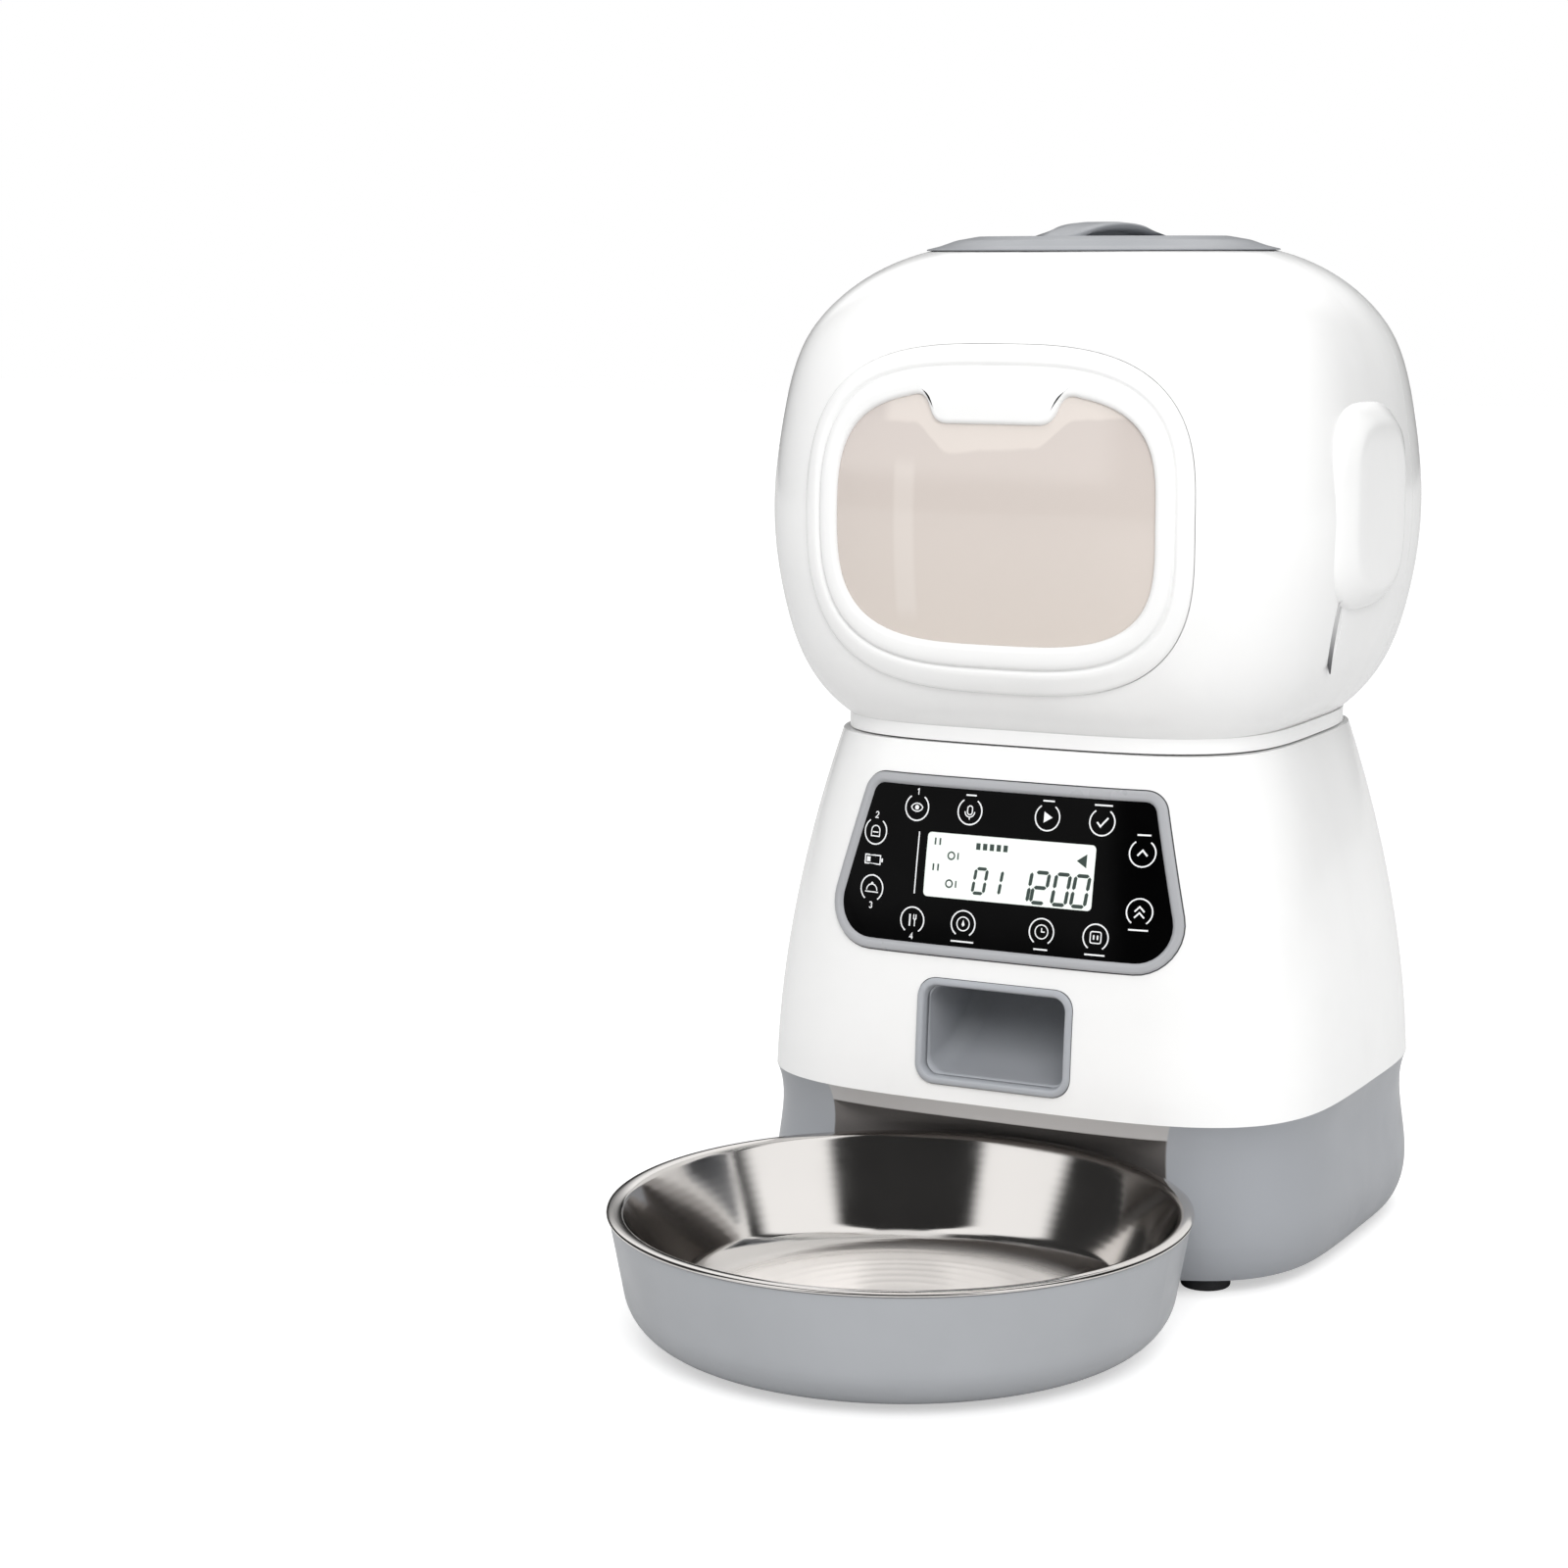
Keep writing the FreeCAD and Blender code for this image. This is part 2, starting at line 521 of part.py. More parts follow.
def make_electrics(nodes):
    start, face = 69.0, 85.1
    body = box(JACK_X - 5, JACK_X + 5, start, start + 11.5, JACK_Z - 5.5, JACK_Z + 5.5)
    barrel = rod(4.1, V(JACK_X, start, JACK_Z), V(JACK_X, face, JACK_Z))
    bore = rod(2.75, V(JACK_X, start + 5.0, JACK_Z), V(JACK_X, face + 1, JACK_Z))
    pin = rod(1.0, V(JACK_X, start + 4.0, JACK_Z), V(JACK_X, face - 1.5, JACK_Z))
    nodes["dc_jack"] = body.fuse(barrel).cut(bore).fuse(pin)
    cone = Part.makeCone(11.5, 5.0, 3.0, V(SPEAKER_X, SPEAKER_Y, 8.6))
    speaker = cylinder(13.0, 8.0, 11.6, SPEAKER_X, SPEAKER_Y)
    speaker = speaker.cut(cylinder(11.5, 8.0, 8.6, SPEAKER_X, SPEAKER_Y)).cut(cone)
    magnet = cylinder(7.0, 11.6, 16.0, SPEAKER_X, SPEAKER_Y)
    nodes["speaker"] = speaker.fuse(magnet)


def make_batteries(nodes):
    top = CELL_Z + CELL_R + 1.0
    case = box(-BOX_HALF_X - 1.8, BOX_HALF_X + 1.8, BOX_FRONT - 1.8, BOX_REAR + 1.8, 8.0, top + 2)
    nodes["battery_box"] = case.cut(box(-BOX_HALF_X, BOX_HALF_X, BOX_FRONT, BOX_REAR, 7, top))
    cells = []
    contacts = []
    start = BOX_FRONT + 5.0
    for i, x in enumerate((-CELL_PITCH, 0.0, CELL_PITCH)):
        way = 1 if i % 2 else -1
        body_start = start if way > 0 else start + 1.5
        body = rod(CELL_R, V(x, body_start, CELL_Z), V(x, body_start + CELL_LENGTH - 1.5, CELL_Z))
        tip_y = body_start + CELL_LENGTH - 1.5 if way > 0 else start
        tip = rod(4.2, V(x, tip_y, CELL_Z), V(x, tip_y + 1.5, CELL_Z))
        cells.append(body.fuse(tip))
        contacts.append(rod(6.5, V(x, BOX_FRONT, CELL_Z), V(x, start, CELL_Z)))
        contacts.append(rod(6.5, V(x, start + CELL_LENGTH, CELL_Z), V(x, BOX_REAR, CELL_Z)))
    nodes["battery_cells"] = group(cells)
    nodes["battery_contacts"] = group(contacts)
    door = rounded_box(-56.0, 56.0, BOX_FRONT - 3.5, BOX_REAR + 3.0, 2.8, 4.9, 4.0)
    for i in range(5):
        y = 50.0 + 3.0 * i
        door = door.cut(box(-12.0, 12.0, y, y + 1.4, 2.0, 3.4))
    nodes["battery_door"] = door


# ---- rotor and drive ---------------------------------------------------------------------
def make_well(nodes):
    well = cylinder(WELL_R + 2.3, WELL_BOTTOM, NECK_Z - GAP)
    flange = cylinder(WELL_R + 5.5, 164.6, 167.0)
    well = well.fuse(flange).cut(cylinder(WELL_R, WELL_FLOOR, NECK_Z + 5))
    well = well.cut(box(-DROP_HALF_X, DROP_HALF_X, DROP_FRONT, DROP_BACK, 140, 155))
    nodes["rotor_well"] = well.cut(cylinder(7.0, 140, 155))
    nodes["shaft_bush"] = tube(7.0, SHAFT_R + BUSH_CLEARANCE, WELL_FLOOR - 4.0, WELL_FLOOR + 0.3)


def make_rotor(nodes):
    low = WELL_FLOOR + 1.2
    high = 165.0
    hub = cylinder(11.0, low, high).fuse(Part.makeCone(11.0, 3.0, 12.0, V(0, 0, high)))
    paddle_count = 6
    paddles = []
    wipers = []
    for i in range(paddle_count):
        blade = box(9.0, 51.0, -1.4, 1.4, low, high)
        wiper = box(51.0, ROTOR_R, -1.0, 1.0, low - 0.6, high - 0.5)
        for piece, store in ((blade, paddles), (wiper, wipers)):
            piece.rotate(V(0, 0, 0), V(0, 0, 1), 30.0 + 360.0 * i / paddle_count)
            store.append(piece)
    square = 2.8
    rotor = hub.fuse(paddles)
    rotor = rotor.cut(box(-square, square, -square, square, low - 1, 162.0))
    rotor = rotor.cut(cylinder(1.6, 150, 175)).cut(cylinder(3.1, 168.0, 180))
    nodes["rotor"] = rotor.removeSplitter()
    nodes["rotor_wipers"] = group(wipers)
    shaft = cylinder(SHAFT_R, 118.4, low).fuse(box(-square, square, -square, square, low, 161.0))
    nodes["drive_shaft"] = shaft.cut(cylinder(1.6, 152.0, 170))
    nodes["rotor_screw"] = cylinder(1.6, 152.5, 168.0).fuse(cylinder(2.9, 168.0, 170.0))


def make_gears(nodes):
    output = gear(OUTPUT_TEETH, 131.0, 137.0, 90.0, SHAFT_R)
    collar = tube(8.0, SHAFT_R, 137.0, 141.0)
    magnet_at = (13.0, 0.0)
    output = output.fuse(collar).cut(cylinder(2.0, 134.0, 140.0, *magnet_at))
    nodes["output_gear"] = output
    nodes["index_magnet"] = cylinder(2.0, 134.0, 137.6, *magnet_at)
    nodes["position_sensor"] = box(10.0, 16.0, -3.0, 3.0, 139.6, 141.2)

    big = gear(IDLER_BIG_TEETH, 123.0, 127.0, 90.0, 2.05)
    small = gear(IDLER_SMALL_TEETH, 127.0, 137.5, 270.0 + 180.0 / IDLER_SMALL_TEETH, 2.05)
    idler = big.fuse(small)
    idler.translate(V(0, IDLER_Y, 0))
    nodes["idler_gear"] = idler
    nodes["idler_pin"] = cylinder(2.0, 119.0, 143.0, 0, IDLER_Y)

    pinion = gear(PINION_TEETH, 122.6, 127.6, 270.0 + 180.0 / PINION_TEETH, 0)
    pinion = pinion.fuse(cylinder(1.5, 112.0, 122.6))
    pinion.translate(V(0, PINION_Y, 0))
    nodes["motor_pinion"] = pinion


def make_gearbox(nodes):
    front, rear = -25.6, PINION_Y + 12.0
    half_x = 26.0
    low, mid, high = 119.0, 121.5, WELL_BOTTOM
    case = rounded_box(-half_x, half_x, front, rear, mid, high, 6.0)
    room = rounded_box(-half_x + 2, half_x - 2, front + 2, rear - 2, mid, 141.6, 4.0)
    case = case.cut(room).cut(cylinder(7.0, 130, 160))
    case = case.cut(cylinder(2.0, 130, 143.0, 0, IDLER_Y))
    nodes["gearbox_housing"] = case
    cover = rounded_box(-half_x, half_x, front, rear, low, mid, 6.0)
    cover = cover.cut(cylinder(SHAFT_R + BUSH_CLEARANCE, 100, 130))
    cover = cover.cut(cylinder(2.0, 100, 130, 0, IDLER_Y))
    cover = cover.cut(cylinder(3.0, 100, 130, 0, PINION_Y))
    screws = []
    for x in (-half_x + 4.0, half_x - 4.0):
        for y in (front + 4.0, rear - 4.0):
            cover = cover.cut(cylinder(1.2, 100, 130, x, y))
            screws.append(cylinder(2.2, low - 1.2, low, x, y).fuse(cylinder(1.2, low, mid, x, y)))
    nodes["gearbox_cover"] = cover
    nodes["gearbox_screws"] = group(screws)
    can = cylinder(14.0, 82.0, low - 3.0, 0, PINION_Y)
    nose = cylinder(6.0, low - 3.0, low, 0, PINION_Y)
    tail = cylinder(5.0, 80.0, 82.0, 0, PINION_Y)
    nodes["motor"] = can.fuse([nose, tail]).cut(cylinder(1.6, 111.0, 125, 0, PINION_Y))


# ---- bowl --------------------------------------------------------------------------------
def curved_revolve(start, steps):
    """Solid of revolution from straight steps (r, z) and arcs ((r, z), (r, z)) after start."""
    edges = []
    here = V(start[0], 0, start[1])
    first = here
    for step in steps:
        if isinstance(step[0], tuple):
            middle, end = V(step[0][0], 0, step[0][1]), V(step[1][0], 0, step[1][1])
            edges.append(Part.Arc(here, middle, end).toShape())
        else:
            end = V(step[0], 0, step[1])
            edges.append(Part.LineSegment(here, end).toShape())
        here = end
    edges.append(Part.LineSegment(here, first).toShape())
    return Part.Face(Part.Wire(edges)).revolve(V(0, 0, 0), V(0, 0, 1), 360)


def make_bowl(nodes):
    holder = curved_revolve((0, 2.0), [
        (68.0, 2.0), ((79.2, 6.2), (84.6, 16.0)), (88.9, 39.2), (86.5, 39.2), (82.6, 17.5),
        ((77.6, 8.4), (67.5, 4.4)), (0, 4.4)])
    tongue = box(-16.0, 16.0, 80.5, 92.5 + 11.0, 11.8, 15.8)
    holder = holder.fuse(tongue)
    feet = []
    for i in range(4):
        angle = math.radians(45 + 90 * i)
        feet.append(cylinder(6.0, 0, 2.0, 52 * math.cos(angle), 52 * math.sin(angle)))
    steel = curved_revolve((0, 6.6), [
        (60.0, 6.6), ((70.5, 9.6), (76.2, 17.5)), (85.3, 39.5), (88.9, 39.5),
        ((RIM_R, 40.1), (88.9, RIM_TOP)), (86.2, RIM_TOP), ((85.0, 40.3), (84.4, 39.2)),
        (75.5, 18.0), ((69.9, 10.3), (60.0, 7.5)), (0, 7.5)])
    for name, shape in (("bowl_holder", holder), ("holder_feet", group(feet)),
                        ("steel_bowl", steel)):
        shape.translate(V(0, -BOWL_AHEAD, 0))
        nodes[name] = shape


def main():
    nodes = {}
    for make in (make_head, make_tank_floor, make_lid, make_housing, make_panel_inside,
                 make_skirt, make_electrics, make_batteries, make_well, make_rotor, make_gears,
                 make_gearbox, make_bowl):
        make(nodes)
    os.makedirs("parts", exist_ok=True)
    for name, shape in nodes.items():
        shape.translate(V(0, BODY_Y, 0))
        shape.exportStep(os.path.join("parts", name + ".step"))
        print(name, shape.isValid(), len(shape.Solids), round(shape.Volume / 1000, 2), "cm3")


main()
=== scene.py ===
import json
import math

import bmesh
import bpy
import numpy as np
from mathutils import Matrix, Vector
from mathutils.bvhtree import BVHTree


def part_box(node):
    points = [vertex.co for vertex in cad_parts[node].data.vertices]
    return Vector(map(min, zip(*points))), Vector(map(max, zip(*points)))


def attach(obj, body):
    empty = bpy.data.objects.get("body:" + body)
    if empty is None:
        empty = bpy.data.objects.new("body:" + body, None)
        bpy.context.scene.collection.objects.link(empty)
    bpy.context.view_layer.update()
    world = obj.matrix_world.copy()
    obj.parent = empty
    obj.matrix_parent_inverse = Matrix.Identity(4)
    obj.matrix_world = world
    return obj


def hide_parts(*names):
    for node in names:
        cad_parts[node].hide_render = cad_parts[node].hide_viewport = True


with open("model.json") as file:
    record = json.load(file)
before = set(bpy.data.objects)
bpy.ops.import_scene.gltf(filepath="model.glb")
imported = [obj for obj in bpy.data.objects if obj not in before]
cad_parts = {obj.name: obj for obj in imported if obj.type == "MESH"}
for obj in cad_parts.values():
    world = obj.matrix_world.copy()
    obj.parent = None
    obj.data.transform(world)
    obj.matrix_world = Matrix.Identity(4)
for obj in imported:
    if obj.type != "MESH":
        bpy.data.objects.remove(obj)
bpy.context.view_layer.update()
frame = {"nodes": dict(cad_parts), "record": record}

# Automatic pet feeder. Numbers are millimetres in the tank's own frame: the tank's upright axis
# at x = y = 0, the floor at z = 0 and the front towards -Y. point() turns them into the
# scene's frame, in metres.
MM = 0.001


def middle_y(node):
    low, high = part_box(node)
    return (low.y + high.y) / 2 / MM


BODY_Y = middle_y("base_housing")
DOME_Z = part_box("tank_front_shell")[1].z / MM
HANDLE_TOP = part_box("lid_handle")[1].z / MM
BOWL_Y = middle_y("steel_bowl") - BODY_Y
RIM_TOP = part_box("steel_bowl")[1].z / MM
RIM_R = (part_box("steel_bowl")[1].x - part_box("steel_bowl")[0].x) / 2 / MM

# (half width, height) along the side of each body, and the shape of its plan
HOUSING_OUTLINE = [(98.0, 56.0), (94.7, 94.0), (87.8, 132.0), (77.5, 170.6)]
HEAD_OUTLINE = [(75.6, 176.0), (88.0, 191.0), (95.5, 214.0), (98.7, 245.0),
                (95.7, 275.5), (88.5, 301.6), (71.7, 321.5), (55.0, 329.0)]
BODY_RATIO, BODY_POWER = 0.88, 4.0
HEAD_RATIO, HEAD_POWER = 0.89, 3.8
ROUND_FROM = 290.0              # where the head's plan starts to turn into a circle
WALL = 2.8                      # depth of trims behind the surface they sit on
WINDOW_X, WINDOW_Z = -1.6, 244.5
RECESS_R, RECESS_TOP = 92.5, 50.7


def point(x, y, z):
    return Vector((x * MM, (y + BODY_Y) * MM, z * MM))


# ---- camera ----
def add_camera():
    azimuth, distance, height = math.radians(22.47), 1142.3, 329.1
    yaw, pitch, roll = math.radians(5.35), math.radians(8.97), math.radians(-0.19)
    heading = azimuth + yaw
    forward = Vector((-math.sin(heading) * math.cos(pitch),
                      math.cos(heading) * math.cos(pitch), -math.sin(pitch)))
    right = Vector((math.cos(heading), math.sin(heading), 0))
    up = right.cross(forward)
    side = right * math.cos(roll) + up * math.sin(roll)
    top = up * math.cos(roll) - right * math.sin(roll)
    camera = bpy.data.objects.new("camera", bpy.data.cameras.new("camera"))
    camera.data.sensor_width = 36.0
    camera.data.lens = 77.68
    place = point(distance * math.sin(azimuth), -distance * math.cos(azimuth), height)
    turn = Matrix((side, top, -forward)).transposed().to_4x4()
    camera.matrix_world = Matrix.Translation(place) @ turn
    bpy.context.scene.collection.objects.link(camera)
    bpy.context.scene.camera = camera


add_camera()


# ---- smooth outlines and rounded-square bodies ----
class Outline:
    """Smooth curve through (half width, height) points."""

    def __init__(self, points):
        self.at = np.array(points, float)
        steps = np.hypot(*np.diff(self.at, axis=0).T)
        self.knots = np.r_[0, np.cumsum(steps)]
        count = len(points)
        system = np.eye(count)
        bend = np.zeros((count, 2))
        for i in range(1, count - 1):
            before, after = steps[i - 1], steps[i]
            system[i, i - 1:i + 2] = before, 2 * (before + after), after
            rise = (self.at[i + 1] - self.at[i]) / after - (self.at[i] - self.at[i - 1]) / before
            bend[i] = 6 * rise
        # each end bends as much as the point beside it
        system[0, 1] = system[-1, -2] = -1 if count > 3 else 0
        self.bend = np.linalg.solve(system, bend)

    def __call__(self, share):
        t = share * self.knots[-1]
        i = min(max(np.searchsorted(self.knots, t) - 1, 0), len(self.knots) - 2)
        step = self.knots[i + 1] - self.knots[i]
        a, b = (self.knots[i + 1] - t) / step, (t - self.knots[i]) / step
        curve = (a ** 3 - a) * self.bend[i] + (b ** 3 - b) * self.bend[i + 1]
        return a * self.at[i] + b * self.at[i + 1] + curve * step * step / 6


class Form:
    """A body whose plan is a rounded square at every height, which turns into a circle above
    round_from if that is given."""

    def __init__(self, outline, ratio, power, round_from=None):
        self.outline = Outline(outline)
        self.ratio, self.power, self.round_from = ratio, power, round_from
        self.top = outline[-1][1]
        rows = np.array([self.outline(i / 400) for i in range(401)])
        self.heights, self.halves = rows[:, 1], rows[:, 0]

    def plan(self, z):
        rise = 0.0
        if self.round_from:
            rise = min(1.0, max(0.0, (z - self.round_from) / (self.top - self.round_from))) ** 2
        return (self.ratio + (1 - self.ratio) * rise, self.power + (2 - self.power) * rise)

    def front(self, x, z):
        """(x, y, z) on the front face."""
        half = np.interp(z, self.heights, self.halves)
        ratio, power = self.plan(z)
        y = -half * ratio * max(0.0, 1 - abs(x / half) ** power) ** (1 / power)
        return np.array((x, y, z))

    def relief(self, x, z, lift):
        """A point lifted off the front face along its normal."""
        step = 0.5
        here = self.front(x, z)
        across = self.front(x + step, z) - self.front(x - step, z)
        upward = self.front(x, z + step) - self.front(x, z - step)
        normal = np.cross(across, upward)
        return here + normal / np.linalg.norm(normal) * lift


HEAD = Form(HEAD_OUTLINE, HEAD_RATIO, HEAD_POWER, round_from=ROUND_FROM)
HOUSING = Form(HOUSING_OUTLINE, BODY_RATIO, BODY_POWER)


def rounded_square(angles, half_across, half_along, power):
    """Distance of the outline from its middle, in each direction."""
    across = np.abs(np.cos(angles) / half_across) ** power
    along = np.abs(np.sin(angles) / half_along) ** power
    return (across + along) ** (-1 / power)


# ---- meshes ----
def skin(maker, rows, closed=True, ring=False, cap_first=False, cap_last=False):
    """Faces through rows of (x, y, z) points, which all have the same number of points.
    closed joins each row's ends, ring joins the last row to the first."""
    lines = [[maker.verts.new(point(*p)) for p in row] for row in rows]
    count = len(rows[0])
    pairs = list(zip(lines, lines[1:]))
    if ring:
        pairs.append((lines[-1], lines[0]))
    for low, high in pairs:
        for i in range(count if closed else count - 1):
            k = (i + 1) % count
            maker.faces.new((low[i], low[k], high[k], high[i]))
    if cap_first:
        maker.faces.new(lines[0][::-1])
    if cap_last:
        maker.faces.new(lines[-1])


def made(maker, name):
    bmesh.ops.recalc_face_normals(maker, faces=maker.faces)
    mesh = bpy.data.meshes.new(name)
    maker.to_mesh(mesh)
    maker.free()
    return mesh


def loft(name, rows, **options):
    maker = bmesh.new()
    skin(maker, rows, **options)
    mesh = made(maker, name)
    mesh.shade_smooth()
    return mesh


def round_edges(piece, width):
    bevel = piece.modifiers.new("rounded edges", "BEVEL")
    bevel.width = width * MM
    bevel.segments = 3
    bevel.limit_method = "ANGLE"
    bevel.angle_limit = math.radians(35.0)
    bevel.harden_normals = False


def flatten_shading(piece):
    weighted = piece.modifiers.new("even shading", "WEIGHTED_NORMAL")
    weighted.keep_sharp = True


def thicken(piece, depth):
    wall = piece.modifiers.new("wall", "SOLIDIFY")
    wall.thickness = depth * MM
    wall.offset = -1.0
    wall.use_even_offset = True


def rounded_polygon(corners, per_corner=10, per_side=14):
    """Closed outline of (x, z) points from (x, z, radius) corners, evenly spread along each
    side, with an arc at each corner."""
    arcs = []
    count = len(corners)
    for i, (x, z, radius) in enumerate(corners):
        here = Vector((x, z))
        before = (Vector(corners[i - 1][:2]) - here).normalized()
        after = (Vector(corners[(i + 1) % count][:2]) - here).normalized()
        half = before.angle(after) / 2
        centre = here + (before + after).normalized() * (radius / math.sin(half))
        start = here + before * (radius / math.tan(half)) - centre
        end = here + after * (radius / math.tan(half)) - centre
        turn = start.angle_signed(end)
        arc = []
        for k in range(per_corner + 1):
            a = -turn * k / per_corner
            arc.append((centre.x + start.x * math.cos(a) - start.y * math.sin(a),
                        centre.y + start.x * math.sin(a) + start.y * math.cos(a)))
        arcs.append(arc)
    outline = []
    for i, arc in enumerate(arcs):
        outline += arc
        start, end = np.array(arc[-1]), np.array(arcs[(i + 1) % count][0])
        outline += [tuple(start + (end - start) * k / per_side) for k in range(1, per_side)]
    return outline


# ---- materials ----
class Tree:
    """Helpers for a node tree."""

    def __init__(self, tree):
        self.nodes, self.links = tree.nodes, tree.links

    def maths(self, operation, first, second=None):
        node = self.nodes.new("ShaderNodeMath")
        node.operation = operation
        for socket, value in zip(node.inputs, (first, second)):
            if isinstance(value, (int, float)):
                socket.default_value = value
            elif value is not None:
                self.links.new(value, socket)
        return node.outputs[0]

    def remap(self, value, low, high, start=0.0, end=1.0, smooth=False):
        node = self.nodes.new("ShaderNodeMapRange")
        node.interpolation_type = "SMOOTHSTEP" if smooth else "LINEAR"
        for socket, number in (("From Min", low), ("From Max", high),
                               ("To Min", start), ("To Max", end)):
            node.inputs[socket].default_value = number
        self.links.new(value, node.inputs["Value"])
        return node.outputs["Result"]

    def axes(self, vector):
        parts = self.nodes.new("ShaderNodeSeparateXYZ")
        self.links.new(vector, parts.inputs[0])
        return parts.outputs


class Surface(Tree):
    """One procedural material. Lengths are metres, so a scale of 1000 is a millimetre grain."""

    def __init__(self, name, rough, metallic=0.0, coat=0.0, specular=0.5):
        self.material = bpy.data.materials.new(name)
        self.material.use_nodes = True
        super().__init__(self.material.node_tree)
        self.shader = self.nodes["Principled BSDF"]
        self.set("Roughness", rough)
        self.set("Metallic", metallic)
        self.set("Coat Weight", coat)
        self.set("Coat Roughness", 0.04)
        self.set("Specular IOR Level", specular)
        self.place = self.nodes.new("ShaderNodeTexCoord").outputs["Object"]

    def set(self, socket, value):
        self.shader.inputs[socket].default_value = value

    def drive(self, socket, value):
        self.links.new(value, self.shader.inputs[socket])

    def noise(self, scale, detail=3.0, place=None):
        node = self.nodes.new("ShaderNodeTexNoise")
        node.inputs["Scale"].default_value = scale
        node.inputs["Detail"].default_value = detail
        self.links.new(place or self.place, node.inputs["Vector"])
        return node.outputs["Fac"]

    def mapped(self, location=(0, 0, 0), scale=(1, 1, 1)):
        node = self.nodes.new("ShaderNodeMapping")
        node.inputs["Location"].default_value = location
        node.inputs["Scale"].default_value = scale
        self.links.new(self.place, node.inputs["Vector"])
        return node.outputs["Vector"]

    def blend(self, share, first, second):
        """Colour between two colours, each a tuple or a socket."""
        node = self.nodes.new("ShaderNodeMix")
        node.data_type = "RGBA"
        self.links.new(share, node.inputs[0])
        for socket, colour in ((node.inputs[6], first), (node.inputs[7], second)):
            if isinstance(colour, tuple):
                socket.default_value = (*colour, 1)
            else:
                self.links.new(colour, socket)
        return node.outputs[2]

    def colour(self, first, second, scale):
        share = self.remap(self.noise(scale), 0.35, 0.65)
        self.paint(self.blend(share, first, second))

    def paint(self, socket):
        self.drive("Base Color", socket)

    def roughness(self, low, high, scale):
        self.drive("Roughness", self.remap(self.noise(scale, 4.0), 0.3, 0.7, low, high))

    def bump(self, height, depth_mm, strength=1.0):
        node = self.nodes.new("ShaderNodeBump")
        node.inputs["Distance"].default_value = depth_mm * MM
        node.inputs["Strength"].default_value = strength
        self.links.new(height, node.inputs["Height"])
        self.drive("Normal", node.outputs["Normal"])


def shade(colour, factor):
    return tuple(min(1.0, c * factor) for c in colour)


BOWL_AXIS = (0, -(BOWL_Y + BODY_Y) * MM, 0)


def from_bowl_axis(surface):
    """Distance from the bowl's axis, in metres."""
    shifted = surface.mapped(BOWL_AXIS, (1, 1, 0))
    length = surface.nodes.new("ShaderNodeVectorMath")
    length.operation = "LENGTH"
    surface.links.new(shifted, length.inputs[0])
    return length.outputs["Value"]


def moulded(name, colour, rough, grain, depth, coat=0.0, spread=0.02, specular=0.5):
    """Injection-moulded plastic: a trace of colour change, uneven gloss and a fine skin."""
    surface = Surface(name, rough, coat=coat, specular=specular)
    surface.colour(shade(colour, 1 - spread), shade(colour, 1 + spread), 35.0)
    surface.roughness(rough * 0.85, rough * 1.15, 60.0)
    surface.bump(surface.noise(grain, 4.0), depth)
    return surface


def make_steel():
    """Spun steel: a satin floor and a polished wall, fine rings about the axis and faint
    wipe marks."""
    surface = Surface("polished steel", 0.13)
    radius = from_bowl_axis(surface)
    wall = surface.remap(radius, 0.057, 0.068, smooth=True)
    worn = surface.blend(surface.noise(18.0), (0.78, 0.755, 0.73), (0.70, 0.675, 0.655))
    surface.paint(surface.blend(wall, (0.95, 0.91, 0.875), worn))
    surface.drive("Metallic", surface.maths("ADD", surface.maths("MULTIPLY", wall, 0.72), 0.28))
    satin = surface.maths("MULTIPLY", surface.maths("SUBTRACT", 1.0, wall), 0.2)
    wiped = surface.remap(surface.noise(45.0), 0.3, 0.7, 0.085, 0.15)
    surface.drive("Roughness", surface.maths("ADD", satin, wiped))
    rings = surface.nodes.new("ShaderNodeTexWave")
    rings.wave_type = "RINGS"
    rings.rings_direction = "Z"
    rings.inputs["Scale"].default_value = 260.0
    rings.inputs["Distortion"].default_value = 1.2
    rings.inputs["Detail"].default_value = 2.0
    surface.links.new(surface.mapped(BOWL_AXIS), rings.inputs["Vector"])
    surface.bump(rings.outputs["Fac"], 0.012, 0.35)
    return surface


def make_skirt():
    """Grey plastic with painted shade inside the recess behind the bowl, dark where shade falls,
    and paler along the lip over it.
    """
    surface = Surface("skirt plastic with painted recess shade", 0.34, coat=0.05)
    # painted shade: this mask picks out the recess behind the bowl, whose colour stands in for the
    # shade that falls in it
    painted_recess_mask = surface.remap(from_bowl_axis(surface), (RECESS_R + 0.1) * MM, (RECESS_R + 0.5) * MM,
                         1.0, 0.0)
    above = surface.remap(surface.axes(surface.place)["Z"], (RECESS_TOP - 0.1) * MM,
                          (RECESS_TOP + 0.3) * MM)
    mottle = surface.blend(surface.noise(35.0), shade(GREY, 0.98), shade(GREY, 1.02))
    # painted shade: near black inside the recess, pale grey on the lip above it
    inside = surface.blend(above, (0.135, 0.126, 0.122), (0.43, 0.42, 0.415))
    surface.paint(surface.blend(painted_recess_mask, mottle, inside))
    surface.roughness(0.29, 0.39, 60.0)
    surface.bump(surface.noise(1700.0, 4.0), 0.012)
    return surface


